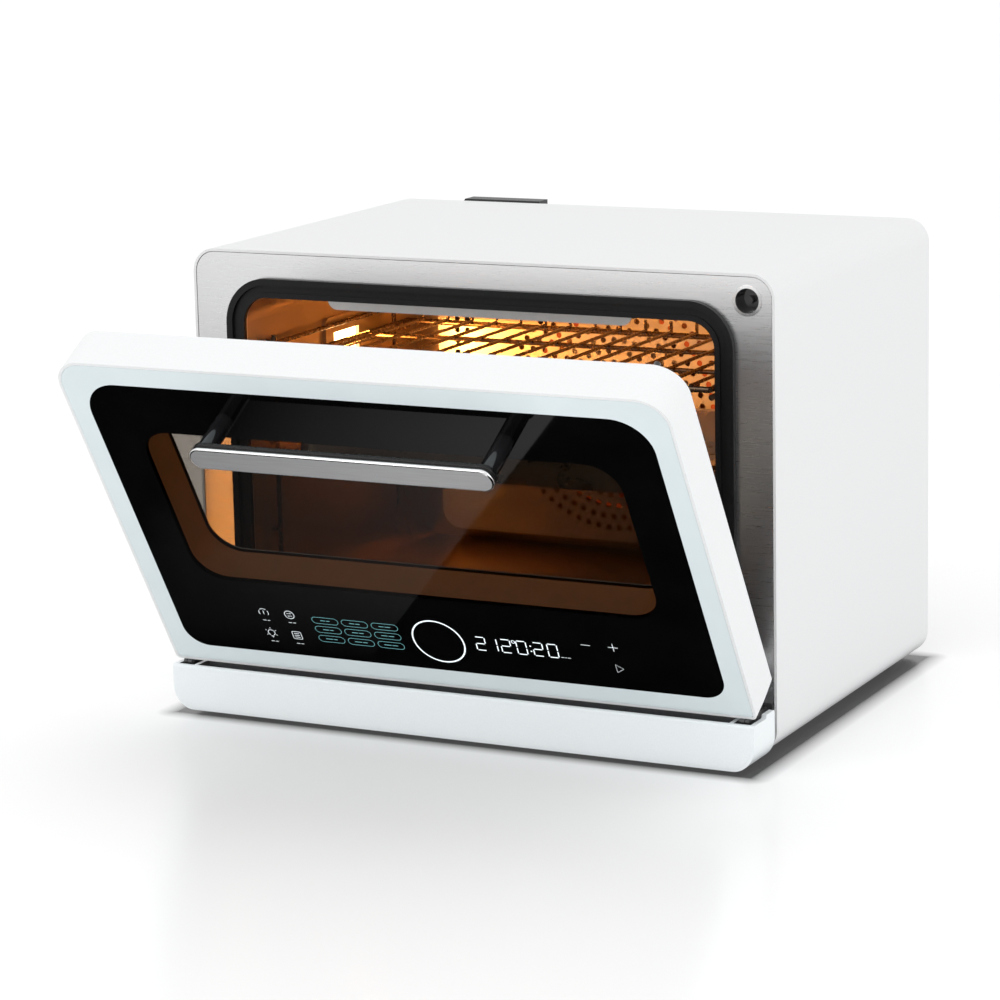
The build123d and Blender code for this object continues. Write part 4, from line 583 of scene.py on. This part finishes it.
def icon_lines():
    """Power, function, lamp and menu marks in the lower left, and minus, plus and play in the lower right."""
    power = (
        (arc(0, 0, ICON, 130, 50), False),
        (arc(0, 0, ICON, 150, 210), False),
        (arc(0, 0, ICON, 30, -30), False),
        ([(0, -1.8), (0, 2.2)], False),
    )
    function = (
        (circle_loop(0, 0, ICON, 24), True),
        ([(-2.2, 1.3), (1.8, 1.3), (0.5, 2.5)], False),
        ([(2.2, -1.3), (-1.8, -1.3), (-0.5, -2.5)], False),
    )
    light = ((arc(0, 0, 3.1, -60, 240), False), ([(-1.4, -4.0), (1.4, -4.0)], False), *light_rays())
    menu = (
        (rounded_loop(8.2, -4.1, 4.1, 1.0, 1.0, 3), True),
        *(([(-2.4, y), (2.4, y)], False) for y in (2.0, 0, -2.0)),
    )
    minus = ([(-4, 0), (4, 0)], False)
    plus = (([(-4.2, 0), (4.2, 0)], False), ([(0, -4.2), (0, 4.2)], False))
    play = ([(-2.6, 4.3), (-2.6, -4.3), (3.6, 0)], True)
    return [
        *about(POWER_PLACE, *power),
        *about(FUNCTION_PLACE, *function),
        *about(LIGHT_PLACE, *light),
        *about(MENU_PLACE, *menu),
        *about(MINUS_PLACE, minus),
        *about(PLUS_PLACE, *plus),
        *about(PLAY_PLACE, play),
    ]


DIGIT_SIDE = 0.29  # half a digit's width over its height
DIGIT_GAP = 0.7
DIGIT_SLANT = 0.06


def segment_digit(x, y, height, segments):
    """A seven-segment digit as separate strokes, centred at x and y."""
    half = height / 2
    side = height * DIGIT_SIDE
    gap = DIGIT_GAP
    places = {
        "a": [(-side + gap, half), (side - gap, half)],
        "b": [(side, half - gap), (side, gap)],
        "c": [(side, -gap), (side, -half + gap)],
        "d": [(-side + gap, -half), (side - gap, -half)],
        "e": [(-side, -gap), (-side, -half + gap)],
        "f": [(-side, half - gap), (-side, gap)],
        "g": [(-side + gap, 0), (side - gap, 0)],
    }
    return [([(x + px + DIGIT_SLANT * py, y + py) for px, py in places[name]], False) for name in segments]


# Which segments each digit lights, and each digit of the reading with its place to the right.
DIGITS = {"0": "abcdef", "1": "bc", "2": "abged"}
READING = ((38.3, "2"), (48.5, "1"), (60.6, "2"), (74.5, "0"), (88.9, "2"), (101.6, "0"))
READING_UP = 54.5
READING_HEIGHT = 14.5
digit_lines = []
for x, digit in READING:
    digit_lines += segment_digit(x, READING_UP, READING_HEIGHT, DIGITS[digit])
degree_and_colon = [
    (circle_loop(68.2, 60.2, 1.5, 12), True),
    (circle_loop(82.6, 57.4, 0.5, 8), True),
    (circle_loop(82.2, 51.6, 0.5, 8), True),
]
label_lines = []
LABEL_PLACES = ((-156.8, 56.6), (-132.7, 56.6), (-156.8, 32.8), (-132.8, 32.8))
UNIT_PLACE = (111.5, 48.2)
for x, y in LABEL_PLACES:
    label_lines += dashes(x, y, (3.2, 2.4))
label_lines += dashes(*UNIT_PLACE, (2.6, 1.4, 2.6), gap=0.8)
PILL_COLUMNS = (-100.6, -73.4, -46.0)
PILL_ROWS = (62.4, 52.2, 41.8)
PILL_LENGTH = 24
PILL_WIDTH = 7
pill_lines = [
    (slot_loop(x, y, PILL_LENGTH, PILL_WIDTH, steps=8), True) for x in PILL_COLUMNS for y in PILL_ROWS
]
pill_labels = []
for row, y in enumerate(PILL_ROWS):
    for column, x in enumerate(PILL_COLUMNS):
        pill_labels += dashes(x, y, (4.5 + row, 3.0 + column))

RING_PLACE = (0, 52)
RING_RADIUS = 22.7
for name, lines, width, material in (
    ("control_icons", icon_lines(), 0.42, icon_glow),
    ("control_digits", digit_lines, 1.0, icon_glow),
    ("control_degree_and_colon", degree_and_colon, 0.6, icon_glow),
    ("control_labels", label_lines, 0.42, icon_glow),
    ("control_pills", pill_lines, 0.36, pill_glow),
    ("control_pill_labels", pill_labels, 0.6, pill_glow),
    ("control_ring", [(circle_loop(*RING_PLACE, RING_RADIUS, 96), True)], 1.35, icon_glow),
):
    dress(strokes(name, lines, width, DOOR_PLANE, LIFT), material, "door", "print_white")

# ---- lights, floor and surroundings ----
FLOOR_HALF = 60


def stage_plane(name, corners, material):
    """A flat piece of the surroundings."""
    mesh = bpy.data.meshes.new(name)
    mesh.from_pydata(corners, [], [tuple(range(len(corners)))])
    piece = bpy.data.objects.new(name, mesh)
    bpy.context.scene.collection.objects.link(piece)
    mesh.materials.append(material)
    return piece


floor_white = surface(
    "floor_white", (0.95, 0.95, 0.95), (0.96, 0.96, 0.96), (0.20, 0.24), grain=2, specular=0.25,
    glow=((1, 1, 1), 0.05),
)
# Painted contact shadow: a soft dark edge painted on the floor around the oven's footprint, standing for the shade
# where no light gets in.
SHADOW_WIDTH = 0.018
SHADOW_FADE = 0.6
SHADOW_DARK = (0.02, 0.02, 0.02, 1)
casing_low, casing_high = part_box("outer_casing")
foot_middle = ((casing_low.x + casing_high.x) / 2, (tray_low.y + casing_high.y) / 2, 0)
foot_half = ((casing_high.x - casing_low.x) / 2, (casing_high.y - tray_low.y) / 2, 0)
floor_tree = floor_white.node_tree
floor_place = floor_tree.nodes.new("ShaderNodeTexCoord").outputs["Object"]
away = math_step(floor_tree, "SUBTRACT", True, floor_place, foot_middle)
away = math_step(floor_tree, "ABSOLUTE", True, away)
away = math_step(floor_tree, "SUBTRACT", True, away, foot_half)
away = math_step(floor_tree, "MAXIMUM", True, away, (0, 0, 0))
away = math_step(floor_tree, "LENGTH", True, away)
lit = math_step(floor_tree, "POWER", False, fraction(floor_tree, away, 0, SHADOW_WIDTH), SHADOW_FADE)
shade = floor_tree.nodes.new("ShaderNodeMix")
shade.data_type = "RGBA"
floor_shader = floor_tree.nodes["Principled BSDF"]
shade.inputs["A"].default_value = SHADOW_DARK
floor_tree.links.new(lit, shade.inputs["Factor"])
floor_tree.links.new(floor_shader.inputs["Base Color"].links[0].from_socket, shade.inputs["B"])
floor_tree.links.new(shade.outputs["Result"], floor_shader.inputs["Base Color"])
FLOOR = [(x * FLOOR_HALF, y * FLOOR_HALF, 0) for x, y in ((-1, -1), (1, -1), (1, 1), (-1, 1))]
stage_plane("floor", FLOOR, floor_white)

# A card low in front, seen only in reflections. It is black right of a slanting line, and glows softly left of it.
card_glow = bpy.data.materials.new("card_glow")
card_glow.use_nodes = True
card_tree = card_glow.node_tree
card_tree.nodes.remove(card_tree.nodes["Principled BSDF"])
LINE_POINT = (0.0192, -0.3616, 0)
LINE_LEFT = (-0.870, -0.493, 0)
GLOW = 1.3  # the strength at the line, which fades over GLOW_REACH and rises from GLOW_START in front
GLOW_REACH = 0.27
GLOW_START = 0.14
GLOW_RISE = 0.20
card_place = card_tree.nodes.new("ShaderNodeTexCoord").outputs["Object"]
card_away = math_step(card_tree, "SUBTRACT", True, card_place, LINE_POINT)
card_left = math_step(card_tree, "DOT_PRODUCT", True, card_away, LINE_LEFT)
card_front = math_step(card_tree, "DOT_PRODUCT", True, card_place, (0, -1, 0))
card_lit = math_step(card_tree, "GREATER_THAN", False, card_left, 0.0)
card_lit = math_step(card_tree, "MULTIPLY", False, card_lit, fraction(card_tree, card_left, GLOW_REACH, 0))
card_lit = math_step(
    card_tree, "MULTIPLY", False, card_lit, fraction(card_tree, card_front, GLOW_START, GLOW_START + GLOW_RISE)
)
card_light = card_tree.nodes.new("ShaderNodeEmission")
card_tree.links.new(math_step(card_tree, "MULTIPLY", False, card_lit, GLOW), card_light.inputs["Strength"])
card_side = card_tree.nodes.new("ShaderNodeNewGeometry")
card_clear = card_tree.nodes.new("ShaderNodeBsdfTransparent")
card_mix = card_tree.nodes.new("ShaderNodeMixShader")
card_tree.links.new(card_side.outputs["Backfacing"], card_mix.inputs["Fac"])
card_tree.links.new(card_light.outputs["Emission"], card_mix.inputs[1])
card_tree.links.new(card_clear.outputs["BSDF"], card_mix.inputs[2])
card_tree.links.new(card_mix.outputs["Shader"], card_tree.nodes["Material Output"].inputs["Surface"])
CARD = [(-1.60, -0.10, 0.002), (-1.60, -1.20, 0.002), (1.20, -1.20, 0.002), (1.20, -0.10, 0.002)]
card = stage_plane("glow_card", CARD, card_glow)
card.visible_camera = False
card.visible_diffuse = False
card.visible_shadow = False
card.visible_transmission = False


def softbox(name, place, aim, size, power, colour=(1, 1, 1)):
    """A square area light that looks at a point."""
    data = bpy.data.lights.new(name, "AREA")
    data.shape = "RECTANGLE"
    data.size, data.size_y = size
    data.energy = power
    data.color = colour
    light = bpy.data.objects.new(name, data)
    bpy.context.scene.collection.objects.link(light)
    light.location = place
    light.rotation_mode = "QUATERNION"
    light.rotation_quaternion = (Vector(aim) - Vector(place)).to_track_quat("-Z", "Y")
    return light


# Each studio light: name, place, what it looks at, size, watts.
STUDIO_LIGHTS = (
    ("key", (-1.6, -2.6, 2.6), (0, 0, 0.2), (1.8, 1.8), 12),
    ("side", (3.0, -0.6, 1.6), (0, 0, 0.2), (1.8, 1.8), 12),
    ("front", (-0.6, -3.2, 0.7), (0, 0, 0.1), (2.4, 0.8), 9),
)
for studio_light in STUDIO_LIGHTS:
    softbox(*studio_light)

world = bpy.data.worlds.new("studio")
world.use_nodes = True
world.node_tree.nodes["Background"].inputs["Color"].default_value = (1, 1, 1, 1)
world.node_tree.nodes["Background"].inputs["Strength"].default_value = 1.0
bpy.context.scene.world = world

# The oven's own lamp, and the warm light that its steel walls throw back. Both light only what is in the cavity.
LAMP_COLOUR = (1.0, 0.38, 0.06)
LAMP_GAP = 0.010
LAMP_AIM_RIGHT = 0.2
LAMP_AIM_DROP = 0.05
LAMP_SIZE = (0.040, 0.090)
LAMP_POWER = 1.5
ROOF_RIGHT = 0.02
ROOF_DROP = 0.030
ROOF_AIM_BACK = 0.04
ROOF_AIM_UP = 0.1
ROOF_SIZE = (0.36, 0.24)
ROOF_POWER = 1.5
LIT_BY_LAMP = (
    "cavity_liner", "lamp_frame", "fan_cover", "steam_shield", "upper_heating_element", "rack_supports",
    "wire_rack", "perforated_pan", "convection_fan", "ring_heater", "steam_nozzle", "temperature_probe",
)
lamp_low, lamp_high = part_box("lamp_glass")
lamp_place = (lamp_high.x + LAMP_GAP, (lamp_low.y + lamp_high.y) / 2, (lamp_low.z + lamp_high.z) / 2)
lit_by_lamp = bpy.data.collections.new("lit_by_lamp")
for name in LIT_BY_LAMP:
    lit_by_lamp.objects.link(nodes[name])
lit_by_lamp.objects.link(duct)
lamp_aim = (LAMP_AIM_RIGHT, lamp_place[1], lamp_place[2] - LAMP_AIM_DROP)
oven_lamp = softbox("oven_lamp", lamp_place, lamp_aim, LAMP_SIZE, LAMP_POWER, LAMP_COLOUR)
oven_lamp.light_linking.receiver_collection = lit_by_lamp
liner_low, liner_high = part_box("cavity_liner")
roof_place = (ROOF_RIGHT, (liner_low.y + liner_high.y) / 2, liner_high.z - ROOF_DROP)
roof_aim = (ROOF_RIGHT, roof_place[1] + ROOF_AIM_BACK, ROOF_AIM_UP)
roof_glow = softbox("roof_glow", roof_place, roof_aim, ROOF_SIZE, ROOF_POWER, LAMP_COLOUR)
roof_glow.visible_glossy = False
roof_glow.light_linking.receiver_collection = lit_by_lamp

# Warm light that the door's inner side throws back on the left of the fascia.
DOOR_GLOW_PLACE = (-0.262, -0.112, 0.165)
DOOR_GLOW_AIM = (-0.243, -0.07, 0.170)
DOOR_GLOW_SIZE = (0.035, 0.12)
DOOR_GLOW_POWER = 0.06
lit_by_door = bpy.data.collections.new("lit_by_door")
lit_by_door.objects.link(nodes["front_fascia"])
door_glow = softbox(
    "door_glow", DOOR_GLOW_PLACE, DOOR_GLOW_AIM, DOOR_GLOW_SIZE, DOOR_GLOW_POWER, LAMP_COLOUR
)
door_glow.visible_camera = False
door_glow.light_linking.receiver_collection = lit_by_door
